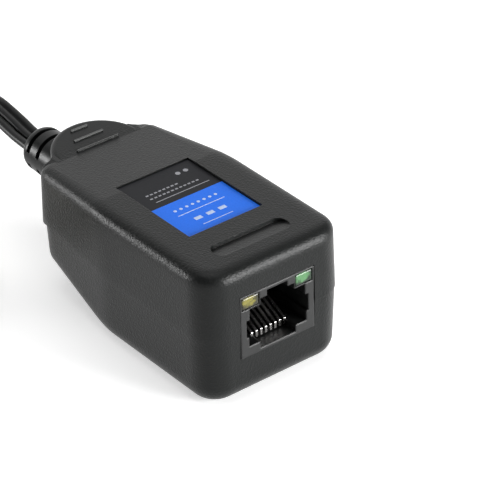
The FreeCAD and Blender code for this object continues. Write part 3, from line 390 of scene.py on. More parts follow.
# painted highlight: on the rib tops the black turns to a pale grey
highlit = add_node(tree, "ShaderNodeMapRange",
                  inputs={"From Min": (RIB_LINE + HIGHLIGHT_START) * MM,
                          "From Max": (RIB_LINE + HIGHLIGHT_FULL) * MM},
                  links={"Value": crest.outputs[0], "To Max": here.outputs[0]})
tone = add_node(tree, "ShaderNodeMix", {"data_type": "RGBA"}, {7: linear("#565756")},
                {0: highlit.outputs[0], 6: black.outputs[2]})
print("rib tops rubbed from", round(RIB_LINE + HIGHLIGHT_START, 2), "mm up, taken back to Y = 0")

# %% Soft black PVC
SATIN = 0.28, 0.38  # roughness, from the grain's hollows to its tips

shine = add_node(tree, "ShaderNodeMapRange",
                 inputs={"From Min": 0.3, "From Max": 0.7,
                         "To Min": SATIN[0], "To Max": SATIN[1]},
                 links={"Value": grit.outputs[0]})
bump = add_node(tree, "ShaderNodeBump", inputs={"Distance": GRAIN_DEPTH * MM},
                links={"Height": relief.outputs[0], "Strength": grained.outputs[0],
                       "Normal": edge.outputs[1]})
# plasticiser at the skin dulls the mirror, so the specular level is under the usual half
plastic = add_node(tree, "ShaderNodeBsdfPrincipled",
                   inputs={"IOR": 1.5, "Specular IOR Level": 0.19},
                   links={"Base Color": tone.outputs[2], "Roughness": shine.outputs[0],
                          "Normal": bump.outputs[0]})
tree.links.new(plastic.outputs[0], output.inputs["Surface"])
wear(body_finish, "housing")
print("body finish:", body_finish.name, "with", len(tree.nodes), "nodes")

# %% [markdown]
# ## The webs beside the nose
#
# Where the half-round nose grows out of the body's tail, the mould has a small
# hollow fillet on each side, and the tail's rim climbs to meet the nose.  The
# solids leave that corner sharp.  A web is a prism of upright strips: each has
# its place on the hollow in plan and its own height, because the top is level
# beside the nose and falls a little on its way to the tail's corner.  A Bevel
# then rounds its rim like the rims next to it.

# %% The web's place, in millimetres
WEB_RADIUS = 2.2                  # of the hollow in plan
WEB_NOSE, WEB_TAIL = 8.42, 10.47  # from the middle, where the hollow starts and ends
HOLLOW_STEPS = 10
TAIL_FACE = 16.96       # along Y
IN_NOSE = (7.6, 18.35)  # a first strip, hidden in the nose
TAIL_CORNER = [(10.9, 16.93), (11.3, 16.8), (11.6, 16.6), (11.8, 16.3)]
WEB_FRONT = 15.0                  # along Y, hidden in the tail
WEB_TOP = 24.82                   # the height beside the nose
FALL_FROM, WEB_FALL = 9.2, 0.25   # from there outwards, and by how much, the rim falls
NOSE_FOOT, TAIL_FOOT = 7.9, 14.5  # how far down the hollow and the tail's corner go
WEB_RIM = 0.45                    # radius of the rounded rim


def web_strips():
    """Each strip's place across, its rear, top and foot."""
    spots = [IN_NOSE]
    for i in range(HOLLOW_STEPS + 1):
        x = WEB_NOSE + (WEB_TAIL - WEB_NOSE) * i / HOLLOW_STEPS
        lift = math.sqrt(WEB_RADIUS ** 2 - (x - WEB_TAIL) ** 2)
        spots.append((x, TAIL_FACE + WEB_RADIUS - lift))
    for x, rear in spots + TAIL_CORNER:
        top = WEB_TOP - WEB_FALL * max(0.0, x - FALL_FROM)
        yield x, rear, top, (NOSE_FOOT if x < WEB_TAIL - 0.5 else TAIL_FOOT)


print("a web has", len(list(web_strips())), "strips")

# %% Webs between nose and tail


def web(name, side):
    """One web on the given side, -1 or 1, with its rim rounded."""
    form = bmesh.new()
    rows = []
    for x, rear, top, foot in web_strips():
        corners = ((WEB_FRONT, foot), (WEB_FRONT, top), (rear, top), (rear, foot))
        rows.append([form.verts.new(Vector((side * x, y, z)) * MM) for y, z in corners])
    for a, b in zip(rows, rows[1:]):
        for i in range(4):
            j = (i + 1) % 4
            form.faces.new((a[i], a[j], b[j], b[i]))
    form.faces.new(rows[0])
    form.faces.new(list(reversed(rows[-1])))
    bmesh.ops.recalc_face_normals(form, faces=form.faces)
    mesh = bpy.data.meshes.new(name)
    form.to_mesh(mesh)
    form.free()
    mesh.materials.append(body_finish)
    item = bpy.data.objects.new(name, mesh)
    scene.collection.objects.link(item)
    rounding = item.modifiers.new("rim", "BEVEL")
    rounding.width = WEB_RIM * MM
    rounding.segments = 3
    rounding.limit_method = "ANGLE"
    rounding.angle_limit = math.radians(50)
    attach(item, "moulding")
    return item


webs = [web("left_web", -1), web("right_web", 1)]
print("webs:", [len(w.data.polygons) for w in webs], "faces before their rims are rounded")

# %% [markdown]
# ## Plain moulded plastics
#
# The socket is a bought-in part of glass-filled polyester.  It is as black as
# the body but denser and smoother, and its sharp edges catch the light as
# fine pale lines.  The grips of the plugs, the insulating sleeves and the
# transformer's spool are plain mouldings too.  They differ only in colour,
# grain and gloss, so one recipe makes them all.  The real edge has a radius
# too small to model on every rim, so the shader rounds the normal there.

# %% One recipe for a moulded plastic
FLOW_GRAINS = 12     # the melt's flow shows as streaks this many grains wide
GLOSS_SPREAD = 0.04  # how far those streaks move the roughness


def moulded(name, dark, pale, grain, depth, rough, edge_radius=0.12):
    """A moulded plastic between two tones; grain, depth and edge in mm."""
    finish, tree, output = new_finish(name)
    spot = add_node(tree, "ShaderNodeTexCoord").outputs["Object"]
    grit = add_node(tree, "ShaderNodeTexNoise",
                    inputs={"Scale": per_mm(grain), "Detail": 3.0}, links={"Vector": spot})
    flow = add_node(tree, "ShaderNodeTexNoise",
                    inputs={"Scale": per_mm(FLOW_GRAINS * grain), "Detail": 2.0, "Distortion": 0.6},
                    links={"Vector": spot})
    edge = add_node(tree, "ShaderNodeBevel", {"samples": 6}, {"Radius": edge_radius * MM})
    bump = add_node(tree, "ShaderNodeBump", inputs={"Distance": depth * MM},
                    links={"Height": grit.outputs[0], "Normal": edge.outputs[0]})
    tone = add_node(tree, "ShaderNodeMix", {"data_type": "RGBA"},
                    {6: linear(dark), 7: linear(pale)}, {0: flow.outputs[0]})
    shine = add_node(tree, "ShaderNodeMapRange",
                     inputs={"From Min": 0.3, "From Max": 0.7,
                             "To Min": rough - GLOSS_SPREAD, "To Max": rough + GLOSS_SPREAD},
                     links={"Value": flow.outputs[0]})
    plastic = add_node(tree, "ShaderNodeBsdfPrincipled", inputs={"IOR": 1.5},
                       links={"Base Color": tone.outputs[2], "Roughness": shine.outputs[0],
                              "Normal": bump.outputs[0]})
    tree.links.new(plastic.outputs[0], output.inputs["Surface"])
    return finish


# glass fibres near the skin give the polyester a dry, slightly clouded gloss
polyester = moulded("glass_filled_pbt", "#0c0d0d", "#111212", 0.25, 0.006, 0.42, 0.5)
wear(polyester, "jack_shell", "contact_carrier")
# a satin tool leaves the grips smoother than the body, with a soft sheen
grip_vinyl = moulded("satin_moulded_pvc", "#171818", "#1f2020", 0.40, 0.012, 0.46)
wear(grip_vinyl, "video_plug_grip", "power_plug_grip")
# waxy white, because fluoroplastic scatters light and never shines
fluoroplastic = moulded("turned_ptfe", "#dcdad2", "#eae8e1", 0.5, 0.004, 0.42)
wear(fluoroplastic, "video_plug_insulator")
# nylon is a little translucent and has a soft gloss
nylon = moulded("black_nylon", "#151616", "#1d1e1e", 0.3, 0.004, 0.36)
wear(nylon, "power_plug_sleeve")
spool_nylon = moulded("natural_nylon", "#c9c0a8", "#d6ceb8", 0.3, 0.004, 0.4)
wear(spool_nylon, "transformer_spool")
# silicone is matt and dusty, so its red looks deep
silicone = moulded("moulded_silicone", "#8e2f22", "#a23a2b", 0.3, 0.006, 0.62)
wear(silicone, "video_plug_gasket")
print("moulded plastics:", [m.name for m in bpy.data.materials])

# %% [markdown]
# ## The lamps
#
# Each lamp is a block of tinted epoxy with a chip glowing behind its face.
# The block is frosted inside, so the light gathers in the middle, and that
# light is painted into the resin's colour as a pale middle, while the rim
# keeps the deeper colour of the resin.  A real light inside would be lost in
# a picture this bright, so the middle of the block glows a little by itself.

# %% Tinted epoxy with a glowing heart
# the centre of the painted glow
GLOW_ASIDE, GLOW_DOWN = 0.35, 0.75  # mm from the middle of the face, and from its top
LENS_EDGE = 0.35                    # mm, radius of the face's edges
FROST_DEPTH = 0.03                  # mm
GLOW_REACH = (2.3, 4.5, 1.6)        # mm across, along and up, as far as the glow shows
FROST = 0.7                         # mm, width of the clouds in the frosted face


def tinted_epoxy(name, node, rim, heart, glow):
    """Clear-faced epoxy, deep at the rim, with a painted glow that makes its heart pale."""
    finish, tree, output = new_finish(name)
    low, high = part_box(node)
    centre = ((low[0] + high[0]) / 2 - GLOW_ASIDE * MM, low[1], high[2] - GLOW_DOWN * MM)
    reach = [r * MM for r in GLOW_REACH]
    spot = add_node(tree, "ShaderNodeTexCoord").outputs["Object"]
    near = add_node(tree, "ShaderNodeMapping",
                    inputs={"Location": [-c / r for c, r in zip(centre, reach)],
                            "Scale": [1 / r for r in reach]}, links={"Vector": spot})
    depth = add_node(tree, "ShaderNodeTexGradient", {"gradient_type": "SPHERICAL"},
                     links={"Vector": near.outputs[0]})
    frost = add_node(tree, "ShaderNodeTexNoise",
                     inputs={"Scale": per_mm(FROST), "Detail": 2.0}, links={"Vector": spot})
    clouded = add_node(tree, "ShaderNodeMath", {"operation": "MULTIPLY", "use_clamp": True},
                       links={0: depth.outputs[1], 1: frost.outputs[0]})
    spread = add_node(tree, "ShaderNodeMapRange", {"interpolation_type": "SMOOTHSTEP"},
                      {"From Min": 0.10, "From Max": 0.30}, {"Value": clouded.outputs[0]})
    # painted light: the colour runs from the resin's deep tint at the rim to a pale glow at the
    # heart
    tone = add_node(tree, "ShaderNodeMix", {"data_type": "RGBA"},
                    {6: linear(rim), 7: linear(heart)}, {0: spread.outputs[0]})
    edge = add_node(tree, "ShaderNodeBevel", {"samples": 6}, {"Radius": LENS_EDGE * MM})
    bump = add_node(tree, "ShaderNodeBump", inputs={"Distance": FROST_DEPTH * MM},
                    links={"Height": frost.outputs[0], "Normal": edge.outputs[0]})
    resin = add_node(tree, "ShaderNodeBsdfPrincipled",
                     inputs={"IOR": 1.54, "Roughness": 0.22, "Emission Strength": glow},
                     links={"Base Color": tone.outputs[2], "Emission Color": tone.outputs[2],
                            "Normal": bump.outputs[0]})
    tree.links.new(resin.outputs[0], output.inputs["Surface"])
    wear(finish, node)
    return finish


LAMP_GLOW = 0.03
lamp_finishes = [
    tinted_epoxy("yellow_tinted_epoxy", "lamp_yellow", "#1f1e08", "#726c28", LAMP_GLOW),
    tinted_epoxy("green_tinted_epoxy", "lamp_green", "#0c2411", "#4a784c", LAMP_GLOW)]
print("lamps:", [finish.name for finish in lamp_finishes])

# %% [markdown]
# ## The metals
#
# The contacts are drawn spring wire, plated bright, so each bend shows one
# narrow white glint and the rest mirrors the black of the socket.  The plugs
# are brass, turned on a lathe and nickel plated: the tool leaves fine rings
# round the axis, which break up every highlight along it.  They differ only in
# colour, in gloss and in those rings, so one recipe makes all of them.

# %% Plated metals
RING_SHAPE = (0.05, 1.0, 0.05)  # the pattern runs 20 times wider across than along
HANDLING = 2.5                  # mm, width of the patches that fingers leave
DULLED = 0.12                   # how much rougher those patches are
PLATED_EDGE = 0.08              # mm


def plated(name, deep, bright, rough, ring_pitch, ring_depth):
    """A plated metal; its tool rings lie ring_pitch mm apart along Y."""
    finish, tree, output = new_finish(name)
    spot = add_node(tree, "ShaderNodeTexCoord").outputs["Object"]
    rings = add_node(tree, "ShaderNodeMapping", inputs={"Scale": RING_SHAPE},
                     links={"Vector": spot})
    tool = add_node(tree, "ShaderNodeTexNoise",
                    inputs={"Scale": per_mm(ring_pitch), "Detail": 2.0},
                    links={"Vector": rings.outputs[0]})
    handling = add_node(tree, "ShaderNodeTexNoise",
                        inputs={"Scale": per_mm(HANDLING), "Detail": 4.0},
                        links={"Vector": spot})
    edge = add_node(tree, "ShaderNodeBevel", {"samples": 6}, {"Radius": PLATED_EDGE * MM})
    bump = add_node(tree, "ShaderNodeBump", inputs={"Distance": ring_depth * MM},
                    links={"Height": tool.outputs[0], "Normal": edge.outputs[0]})
    tone = add_node(tree, "ShaderNodeMix", {"data_type": "RGBA"},
                    {6: linear(deep), 7: linear(bright)}, {0: handling.outputs[0]})
    shine = add_node(tree, "ShaderNodeMapRange",
                     inputs={"From Min": 0.3, "From Max": 0.7,
                             "To Min": rough, "To Max": rough + DULLED},
                     links={"Value": handling.outputs[0]})
    metal = add_node(tree, "ShaderNodeBsdfPrincipled", inputs={"Metallic": 1.0},
                     links={"Base Color": tone.outputs[2], "Roughness": shine.outputs[0],
                            "Normal": bump.outputs[0]})
    tree.links.new(metal.outputs[0], output.inputs["Surface"])
    return finish


# the springs are drawn wire under bright nickel, so each bend shows one white glint
spring = plated("bright_nickel_on_bronze", "#8f8d8b", "#c9c7c5", 0.2, 0.3, 0.001)
wear(spring, *[f"contact_{i}" for i in range(1, 9)])
# a thin gold flash keeps some of the bronze's warmth
gold = plated("gold_flashed_bronze", "#c79a4e", "#edd08d", 0.16, 0.3, 0.001)
wear(gold, "video_plug_pin")
# nickel is a warm grey mirror, dulled a little by handling
nickel = plated("turned_nickel_plate", "#b3afa6", "#cfccc4", 0.17, 0.14, 0.003)
wear(nickel, "video_plug_shell", "video_plug_coupling", "power_plug_barrel")
# tin is whiter and softer than nickel
tin = plated("bright_tin_plate", "#bdbdbb", "#d5d5d3", 0.24, 0.2, 0.002)
wear(tin, "power_plug_socket")
print("metals:", spring.name, gold.name, nickel.name, tin.name)

# %% [markdown]
# ## The label
#
# The label is a polyester film, printed on its back and laid in a recess, so
# that nothing rubs it.  The front half is a clear blue and the rear half is
# close to the black of the body.  A film has two looks in one: the even ink
# below and the satin skin above, which is why it gets a faint coat.

# %% Printed film
label_low, label_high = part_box("label")
FIELD_LINE = -10.32  # mm along Y, where blue meets dark
INK_GRAIN = 0.3      # mm
FILM_WAVE = 3.0      # mm between the slight waves of a film pressed down by hand
WAVE_DEPTH = 0.02    # mm

film_finish, tree, output = new_finish("printed_polyester_film")
spot = add_node(tree, "ShaderNodeTexCoord").outputs["Object"]
along = add_node(tree, "ShaderNodeSeparateXYZ", links={0: spot})
rear = add_node(tree, "ShaderNodeMath", {"operation": "GREATER_THAN"}, {1: FIELD_LINE * MM},
                {0: along.outputs["Y"]})
ink_grain = add_node(tree, "ShaderNodeTexNoise",
                     inputs={"Scale": per_mm(INK_GRAIN), "Detail": 2.0},
                     links={"Vector": spot})
blue = add_node(tree, "ShaderNodeMix", {"data_type": "RGBA"},
                {6: linear("#176be7"), 7: linear("#2478f7")}, {0: ink_grain.outputs[0]})
dark = add_node(tree, "ShaderNodeMix", {"data_type": "RGBA"},
                {6: linear("#121317"), 7: linear("#1a1b20")}, {0: ink_grain.outputs[0]})
ink = add_node(tree, "ShaderNodeMix", {"data_type": "RGBA"},
               links={0: rear.outputs[0], 6: blue.outputs[2], 7: dark.outputs[2]})
wave = add_node(tree, "ShaderNodeTexNoise",
                inputs={"Scale": per_mm(FILM_WAVE), "Detail": 2.0}, links={"Vector": spot})
bump = add_node(tree, "ShaderNodeBump", inputs={"Distance": WAVE_DEPTH * MM},
                links={"Height": wave.outputs[0]})
film = add_node(tree, "ShaderNodeBsdfPrincipled",
                inputs={"Roughness": 0.5, "IOR": 1.5, "Specular IOR Level": 0.12,
                        "Coat Weight": 0.05, "Coat Roughness": 0.25},
                links={"Base Color": ink.outputs[2], "Normal": bump.outputs[0]})
tree.links.new(film.outputs[0], output.inputs["Surface"])
wear(film_finish, "label")
print("label:", [round((b - a) / MM, 2) for a, b in zip(label_low, label_high)], "mm")

# %% [markdown]
# ## The print
#
# The print is made of plain marks in rows: eight discs for the socket's eight
# ways, thin rules and short dashes.  Rows repeat, so Geometry Nodes make them:
# a line of points, a mark on each point, and the inks set at the end.  Each
# mark is a screen-printed film a few hundredths of a millimetre thick, so it
# catches the light as ink does.

# %% Screen ink
PRINT_THICKNESS = 0.02 * MM
SCREEN_MESH = 0.25  # mm; a real screen is finer and would not show


def screen_ink(name, thin, full):
    """Opaque ink; the mesh of the screen leaves it faintly uneven."""
    finish, tree, output = new_finish(name)
    spot = add_node(tree, "ShaderNodeTexCoord").outputs["Object"]
    mesh = add_node(tree, "ShaderNodeTexNoise",
                    inputs={"Scale": per_mm(SCREEN_MESH), "Detail": 1.0},
                    links={"Vector": spot})
    tone = add_node(tree, "ShaderNodeMix", {"data_type": "RGBA"},
                    {6: linear(thin), 7: linear(full)}, {0: mesh.outputs[0]})
    ink = add_node(tree, "ShaderNodeBsdfPrincipled", inputs={"Roughness": 0.5},
                   links={"Base Color": tone.outputs[2]})
    tree.links.new(ink.outputs[0], output.inputs["Surface"])
    return finish


white_ink = screen_ink("white_screen_ink", "#a9bfe6", "#c9d8f2")
grey_ink = screen_ink("grey_screen_ink", "#84858b", "#9fa0a6")
print("inks:", white_ink.name, grey_ink.name)

# %% A tree that prints a row of marks
ROW_INPUTS = (("Count", "NodeSocketInt"), ("Pitch", "NodeSocketVector"),
              ("Start", "NodeSocketVector"), ("Size", "NodeSocketVector"),
              ("Round", "NodeSocketBool"), ("Ink", "NodeSocketMaterial"))


def row_tree():
    """Points in a line, a bar or a disc on each, made real and inked."""
    tree = bpy.data.node_groups.new("row_of_marks", "GeometryNodeTree")
    for name, kind in ROW_INPUTS:
        tree.interface.new_socket(name, in_out="INPUT", socket_type=kind)
    tree.interface.new_socket("Geometry", in_out="OUTPUT", socket_type="NodeSocketGeometry")
    given = add_node(tree, "NodeGroupInput").outputs
    line = add_node(tree, "GeometryNodeMeshLine",
                    links={"Count": given["Count"], "Start Location": given["Start"],
                           "Offset": given["Pitch"]})
    bar = add_node(tree, "GeometryNodeMeshCube", inputs={"Size": (1, 1, 1)})
    disc = add_node(tree, "GeometryNodeMeshCylinder",
                    inputs={"Vertices": 28, "Radius": 0.5, "Depth": 1.0})
    mark = add_node(tree, "GeometryNodeSwitch", {"input_type": "GEOMETRY"},
                    links={"Switch": given["Round"], "False": bar.outputs["Mesh"],
                           "True": disc.outputs["Mesh"]})
    row = add_node(tree, "GeometryNodeInstanceOnPoints",
                   links={"Points": line.outputs[0], "Instance": mark.outputs[0],
                          "Scale": given["Size"]})
    real = add_node(tree, "GeometryNodeRealizeInstances", links={0: row.outputs[0]})
    inked = add_node(tree, "GeometryNodeSetMaterial",
                     links={"Geometry": real.outputs[0], "Material": given["Ink"]})
    add_node(tree, "NodeGroupOutput", links={"Geometry": inked.outputs[0]})
    return tree


marks = row_tree()
print("the tree for a row has", len(marks.nodes), "nodes")

# %% [markdown]
# The export takes plain meshes.  So the tree runs once on an empty seed with
# the values of one row, and what it makes is kept as a mesh of its own.

# %% From a tree to a plain mesh


def from_tree(name, tree, values):
    """A plain mesh object of what a geometry tree makes with these values."""
    seed = bpy.data.objects.new(f"{name}_seed", bpy.data.meshes.new(f"{name}_seed"))
    scene.collection.objects.link(seed)
    maker = seed.modifiers.new("maker", "NODES")
    maker.node_group = tree
    for socket in tree.interface.items_tree:
        if socket.in_out == "INPUT" and socket.name in values:
            maker[socket.identifier] = values[socket.name]
    made = seed.evaluated_get(bpy.context.evaluated_depsgraph_get())
    mesh = bpy.data.meshes.new_from_object(made)
    mesh.name = name
    bpy.data.objects.remove(seed)
    item = bpy.data.objects.new(name, mesh)
    scene.collection.objects.link(item)
    return item


print("row inputs:", [name for name, kind in ROW_INPUTS])

# %% Rows of marks, in millimetres across and along the body
ink_height = label_high[2] + PRINT_THICKNESS / 2
# how many, how far apart, where the first is, how large, round or not, and the ink
ROWS = {
    "way_discs": (8, 1.25, (-4.4, -13.0), (0.60, 0.60), True, white_ink),
    "long_rule": (1, 1.0, (0.0, -14.7), (10.0, 0.16), False, white_ink),
    "wide_bars": (3, 2.6, (-2.6, -17.2), (1.5, 0.9), False, white_ink),
    "short_rule": (1, 1.0, (0.0, -19.4), (6.4, 0.16), False, white_ink),
    "dark_rule": (1, 1.0, (0.6, -8.6), (11.6, 0.16), False, grey_ink),
    "front_dashes": (12, 0.9, (-5.1, -7.2), (0.55, 0.34), False, grey_ink),
    "rear_dashes": (8, 0.9, (-5.1, -5.9), (0.55, 0.34), False, grey_ink),
    "dark_discs": (2, 1.7, (3.6, -3.2), (0.95, 0.95), True, grey_ink),
}
for name, (count, pitch, (left, near), (wide, deep), is_round, ink) in ROWS.items():
    row = from_tree(name, marks, {
        "Count": count, "Pitch": (pitch * MM, 0.0, 0.0),
        "Start": (left * MM, near * MM, ink_height),
        "Size": (wide * MM, deep * MM, PRINT_THICKNESS), "Round": is_round, "Ink": ink})
    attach(row, "moulding")
    print(name, "has", len(row.data.polygons), "faces")

# %% [markdown]
# ## The leads' jackets
#
# A lead's jacket is PVC pressed through a round die.  The die drags fine lines
# along it and leaves it satin, without the grain of the moulded body.  The
# lines have to follow the lead round its bends, so this pattern reads the
# sheath's own map: millimetres along the lead, and share of the way round it.

# %% Extruded jackets
DIE_LINES = 40      # drag lines round the jacket
LINE_RUN = 0.15     # how fast a drag line changes along it, per mm
LINE_DEPTH = 0.008  # mm
DUST = 0.5          # mm

jacket, tree, output = new_finish("extruded_pvc_jacket")
where = add_node(tree, "ShaderNodeUVMap", {"uv_map": "run"})
drawn = add_node(tree, "ShaderNodeMapping", inputs={"Scale": (LINE_RUN, DIE_LINES, 1.0)},
                 links={"Vector": where.outputs[0]})
drag = add_node(tree, "ShaderNodeTexNoise", inputs={"Scale": 1.0, "Detail": 3.0},
                links={"Vector": drawn.outputs[0]})
spot = add_node(tree, "ShaderNodeTexCoord").outputs["Object"]
dust = add_node(tree, "ShaderNodeTexNoise", inputs={"Scale": per_mm(DUST), "Detail": 3.0},
                links={"Vector": spot})
bump = add_node(tree, "ShaderNodeBump", inputs={"Distance": LINE_DEPTH * MM},
                links={"Height": drag.outputs[0]})
tone = add_node(tree, "ShaderNodeMix", {"data_type": "RGBA"},
                {6: linear("#101111"), 7: linear("#191a1a")}, {0: dust.outputs[0]})
shine = add_node(tree, "ShaderNodeMapRange",
                 inputs={"From Min": 0.3, "From Max": 0.7, "To Min": 0.38, "To Max": 0.48},
                 links={"Value": drag.outputs[0]})
vinyl = add_node(tree, "ShaderNodeBsdfPrincipled",
                 inputs={"IOR": 1.5, "Specular IOR Level": 0.22},
                 links={"Base Color": tone.outputs[2], "Roughness": shine.outputs[0],
                        "Normal": bump.outputs[0]})
tree.links.new(vinyl.outputs[0], output.inputs["Surface"])
for item in (video_sheath, power_sheath):
    item.data.materials.append(jacket)
wear(jacket, "video_lead", "power_lead")
print("jacket:", jacket.name)

# %% [markdown]
# ## The parts inside
#
# The parts inside show only when the moulding is taken away.  Their finishes
# are still those of the bench: a green board with the glass cloth showing
# faintly through its mask, sintered ferrite, enamelled wire, and small parts
# whose ends are tinned.

# %% Board with its glass cloth
YARN = 3.1416        # mm between the yarns; real ones lie 0.5 mm apart and would not show
WAVE_TURN = 20       # radians that a wave texture of scale 1 turns through in one unit
CLOTH_DEPTH = 0.008  # mm


def per_wave(size):
    """The wave texture's scale at which one wave measures this many mm."""
    return 2 * math.pi / WAVE_TURN / (size * MM)


board_finish, tree, output = new_finish("solder_masked_glass_epoxy")
spot = add_node(tree, "ShaderNodeTexCoord").outputs["Object"]
warp, weft = (add_node(tree, "ShaderNodeTexWave", {"bands_direction": way},
                       {"Scale": per_wave(YARN), "Distortion": 0.4}, {"Vector": spot})
              for way in ("X", "Y"))
cloth = add_node(tree, "ShaderNodeMath", {"operation": "MULTIPLY"},
                 links={0: warp.outputs[1], 1: weft.outputs[1]})
bump = add_node(tree, "ShaderNodeBump", inputs={"Distance": CLOTH_DEPTH * MM},
                links={"Height": cloth.outputs[0]})
tone = add_node(tree, "ShaderNodeMix", {"data_type": "RGBA"},
                {6: linear("#14502d"), 7: linear("#1f6b3d")}, {0: cloth.outputs[0]})
mask = add_node(tree, "ShaderNodeBsdfPrincipled", inputs={"Roughness": 0.32, "IOR": 1.55},
                links={"Base Color": tone.outputs[2], "Normal": bump.outputs[0]})
tree.links.new(mask.outputs[0], output.inputs["Surface"])
wear(board_finish, "circuit_board")

# ferrite is pressed powder, baked hard, so it is dull and faintly gritty
ferrite = moulded("sintered_ferrite", "#333436", "#3f4043", 0.2, 0.01, 0.55, 0.2)
wear(ferrite, "transformer_core_lower", "transformer_core_upper")
print("board yarn:", YARN, "mm, core:", ferrite.name)

# %% [markdown]
# The winding is fine copper wire under a clear enamel.  Its turns lie side by
# side down the spool, so a wave along the upright shows them, and the enamel
# is a coat over the metal.  The same wave paints the copper darker in the
# valleys between the turns and paler on their crests, as shade and highlight.

# %% Enamelled winding
WIRE = 1.2566      # mm, wire over its enamel; a real 0.2 mm would not show
TURN_DEPTH = 0.06  # mm, how deep the valleys between turns are drawn

winding_finish, tree, output = new_finish("enamelled_copper_wire")
spot = add_node(tree, "ShaderNodeTexCoord").outputs["Object"]
turns = add_node(tree, "ShaderNodeTexWave", {"bands_direction": "Z"},
                 {"Scale": per_wave(WIRE), "Distortion": 0.2}, {"Vector": spot})
bump = add_node(tree, "ShaderNodeBump", inputs={"Distance": TURN_DEPTH * MM},
                links={"Height": turns.outputs[1]})
# painted shade and highlight: darker copper in the valleys between turns, paler on their crests
tone = add_node(tree, "ShaderNodeMix", {"data_type": "RGBA"},
                {6: linear("#7c3417"), 7: linear("#c4683a")}, {0: turns.outputs[1]})
wire = add_node(tree, "ShaderNodeBsdfPrincipled",
                inputs={"Metallic": 1.0, "Roughness": 0.28, "Coat Weight": 0.8,
                        "Coat Roughness": 0.1},
                links={"Base Color": tone.outputs[2], "Normal": bump.outputs[0]})
tree.links.new(wire.outputs[0], output.inputs["Surface"])
wear(winding_finish, "transformer_winding")
low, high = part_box("transformer_winding")
print("turns down the spool:", round((high[2] - low[2]) / MM / WIRE))

# %% [markdown]
# A surge arrester and a chip are small bodies between two tinned ends.  Both
# are one solid each, so the finish itself tells the ends from the middle, by
# how far a point lies from the part's centre line.

# %% Small parts with tinned ends
TIN = "#c9c9c6"
FIRED_GRIT = 0.2  # mm


def tinned_ends(name, node, body_colour, end_width):
    """A dull body whose ends, end_width mm wide, are tinned."""
    finish, tree, output = new_finish(name)
    low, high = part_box(node)
    half = (high[0] - low[0]) / 2
    spot = add_node(tree, "ShaderNodeTexCoord").outputs["Object"]
    centred = add_node(tree, "ShaderNodeMapping",
                       inputs={"Location": (-(low[0] + high[0]) / 2, 0, 0)},
                       links={"Vector": spot})
    across = add_node(tree, "ShaderNodeSeparateXYZ", links={0: centred.outputs[0]})
    away = add_node(tree, "ShaderNodeMath", {"operation": "ABSOLUTE"},
                    links={0: across.outputs["X"]})
    end = add_node(tree, "ShaderNodeMath", {"operation": "GREATER_THAN"},
                   {1: half - end_width * MM}, {0: away.outputs[0]})
    grit = add_node(tree, "ShaderNodeTexNoise",
                    inputs={"Scale": per_mm(FIRED_GRIT), "Detail": 3.0},
                    links={"Vector": spot})
    shine = add_node(tree, "ShaderNodeMapRange", inputs={"To Min": 0.3, "To Max": 0.5},
                     links={"Value": grit.outputs[0]})
    tone = add_node(tree, "ShaderNodeMix", {"data_type": "RGBA"},
                    {6: linear(body_colour), 7: linear(TIN)}, {0: end.outputs[0]})
    part = add_node(tree, "ShaderNodeBsdfPrincipled",
                    links={"Base Color": tone.outputs[2], "Metallic": end.outputs[0],
                           "Roughness": shine.outputs[0]})
    tree.links.new(part.outputs[0], output.inputs["Surface"])
    wear(finish, node)
    return finish


for index in (1, 2):
    tinned_ends(f"moulded_surge_body_{index}", f"surge_arrester_{index}", "#2a2b2d", 0.3)
tinned_ends("fired_chip_resistor", "line_resistor", "#1a1b1c", 0.45)
tinned_ends("fired_chip_capacitor", "line_capacitor", "#8f7458", 0.45)
print("nodes without a finish:", [n for n in nodes if not nodes[n].data.materials[0].use_nodes])

# %% [markdown]
# ## The studio
#
# The object stands on a white sweep.  The picture's ground is plain white, so
# the sweep glows a little for the camera and in reflections, and the soft
# shadow stays in it.  A black moulding is drawn by what it mirrors: a low
# bright strip in front and to the right runs a highlight along the front rim,
# a small one behind on the left does the same for the left rim, and the room
# between them is dark, which leaves the dark bands.  Two large dim panels,
# overhead and behind, lift the top.

# %% Ground
GROUND_GLOW = 0.5
GROUND_REACH = 3   # m from the middle to each side
GROUND_GAP = 0.02  # mm under the body, so that the two faces don't fight

ground_finish, tree, output = new_finish("white_paper_sweep")
paper = add_node(tree, "ShaderNodeBsdfDiffuse", inputs={"Color": linear("#f4f4f4")})
glow = add_node(tree, "ShaderNodeEmission",
                inputs={"Color": (1, 1, 1, 1), "Strength": GROUND_GLOW})
ray = add_node(tree, "ShaderNodeLightPath")
mirrored = add_node(tree, "ShaderNodeMath", {"operation": "MAXIMUM"},
                    links={0: ray.outputs["Is Glossy Ray"], 1: ray.outputs["Is Transmission Ray"]})
seen = add_node(tree, "ShaderNodeMath", {"operation": "MAXIMUM"},
                links={0: ray.outputs["Is Camera Ray"], 1: mirrored.outputs[0]})
both = add_node(tree, "ShaderNodeAddShader", links={0: paper.outputs[0], 1: glow.outputs[0]})
share = add_node(tree, "ShaderNodeMixShader",
                 links={0: seen.outputs[0], 1: paper.outputs[0], 2: both.outputs[0]})
tree.links.new(share.outputs[0], output.inputs["Surface"])

ground_mesh = bpy.data.meshes.new("ground")
corners = [(a * GROUND_REACH, b * GROUND_REACH, 0) for a, b in ((-1, -1), (1, -1), (1, 1), (-1, 1))]
ground_mesh.from_pydata(corners, [], [(0, 1, 2, 3)])
ground_mesh.materials.append(ground_finish)
ground = bpy.data.objects.new("ground", ground_mesh)
ground.location.z = -GROUND_GAP * MM
scene.collection.objects.link(ground)
print("ground:", 2 * GROUND_REACH, "m wide, glow", GROUND_GLOW)

# %% Room
HORIZON, CEILING = 1.0, 0.15  # the pale end of the sweep, and the dark room above it
SWEEP_TOP, ROOM_FROM = 2, 9   # degrees up, between which one turns into the other

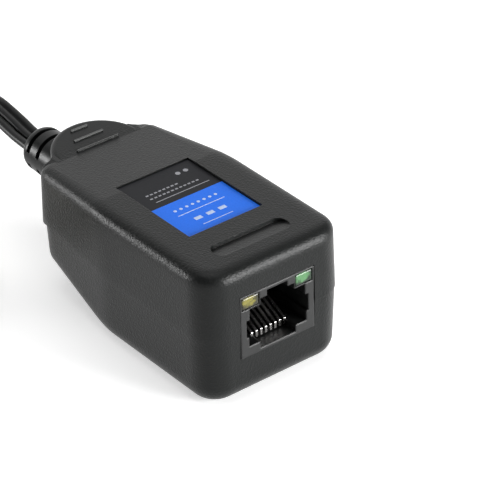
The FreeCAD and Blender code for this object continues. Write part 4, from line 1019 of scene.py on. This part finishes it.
room = bpy.data.worlds.new("studio_room")
room.use_nodes = True
room.node_tree.nodes.clear()
tree = room.node_tree
way = add_node(tree, "ShaderNodeTexCoord").outputs["Generated"]
parts = add_node(tree, "ShaderNodeSeparateXYZ", links={0: way})
fall = add_node(tree, "ShaderNodeMapRange", {"interpolation_type": "SMOOTHSTEP"},
                {"From Min": math.sin(math.radians(SWEEP_TOP)),
                 "From Max": math.sin(math.radians(ROOM_FROM)),
                 "To Min": HORIZON, "To Max": CEILING}, {"Value": parts.outputs["Z"]})
light = add_node(tree, "ShaderNodeBackground", inputs={"Color": (1, 1, 1, 1)},
                 links={"Strength": fall.outputs[0]})
add_node(tree, "ShaderNodeOutputWorld", links={"Surface": light.outputs[0]})
scene.world = room
scene.view_settings.view_transform = "Standard"
print("room:", HORIZON, "at the horizon,", CEILING, "above", ROOM_FROM, "degrees")

# %% Lamps
LAMP_DISTANCE = 0.8  # m
# azimuth and elevation in degrees, width and height in metres, brightness of the front
LAMPS = {
    "front_strip": (29, 11, 0.40, 0.38, 26.0),
    "rear_left_strip": (221, 6, 0.22, 0.22, 28.0),
    "overhead_panel": (150, 84, 0.6, 0.6, 1.8),
    "rear_panel": (155, 30, 1.2, 0.66, 1.1),
}


def soft_lamp(name, azimuth, elevation, width, height, brightness):
    """A soft lamp that faces the object."""
    turn, rise = math.radians(azimuth), math.radians(elevation)
    place = Vector((math.sin(turn) * math.cos(rise), -math.cos(turn) * math.cos(rise),
                    math.sin(rise))) * LAMP_DISTANCE
    lamp = bpy.data.lights.new(name, "AREA")
    lamp.shape = "RECTANGLE"
    lamp.size, lamp.size_y = width, height
    # an area lamp's watts, for a front that a camera would see this bright
    lamp.energy = brightness * math.pi * width * height
    item = bpy.data.objects.new(name, lamp)
    item.location = place
    item.rotation_euler = (-place).to_track_quat("-Z", "Y").to_euler()
    scene.collection.objects.link(item)
    return item


lamps = [soft_lamp(name, *facts) for name, facts in LAMPS.items()]
print("lamps:", [(lamp.name, round(lamp.data.energy, 2)) for lamp in lamps])
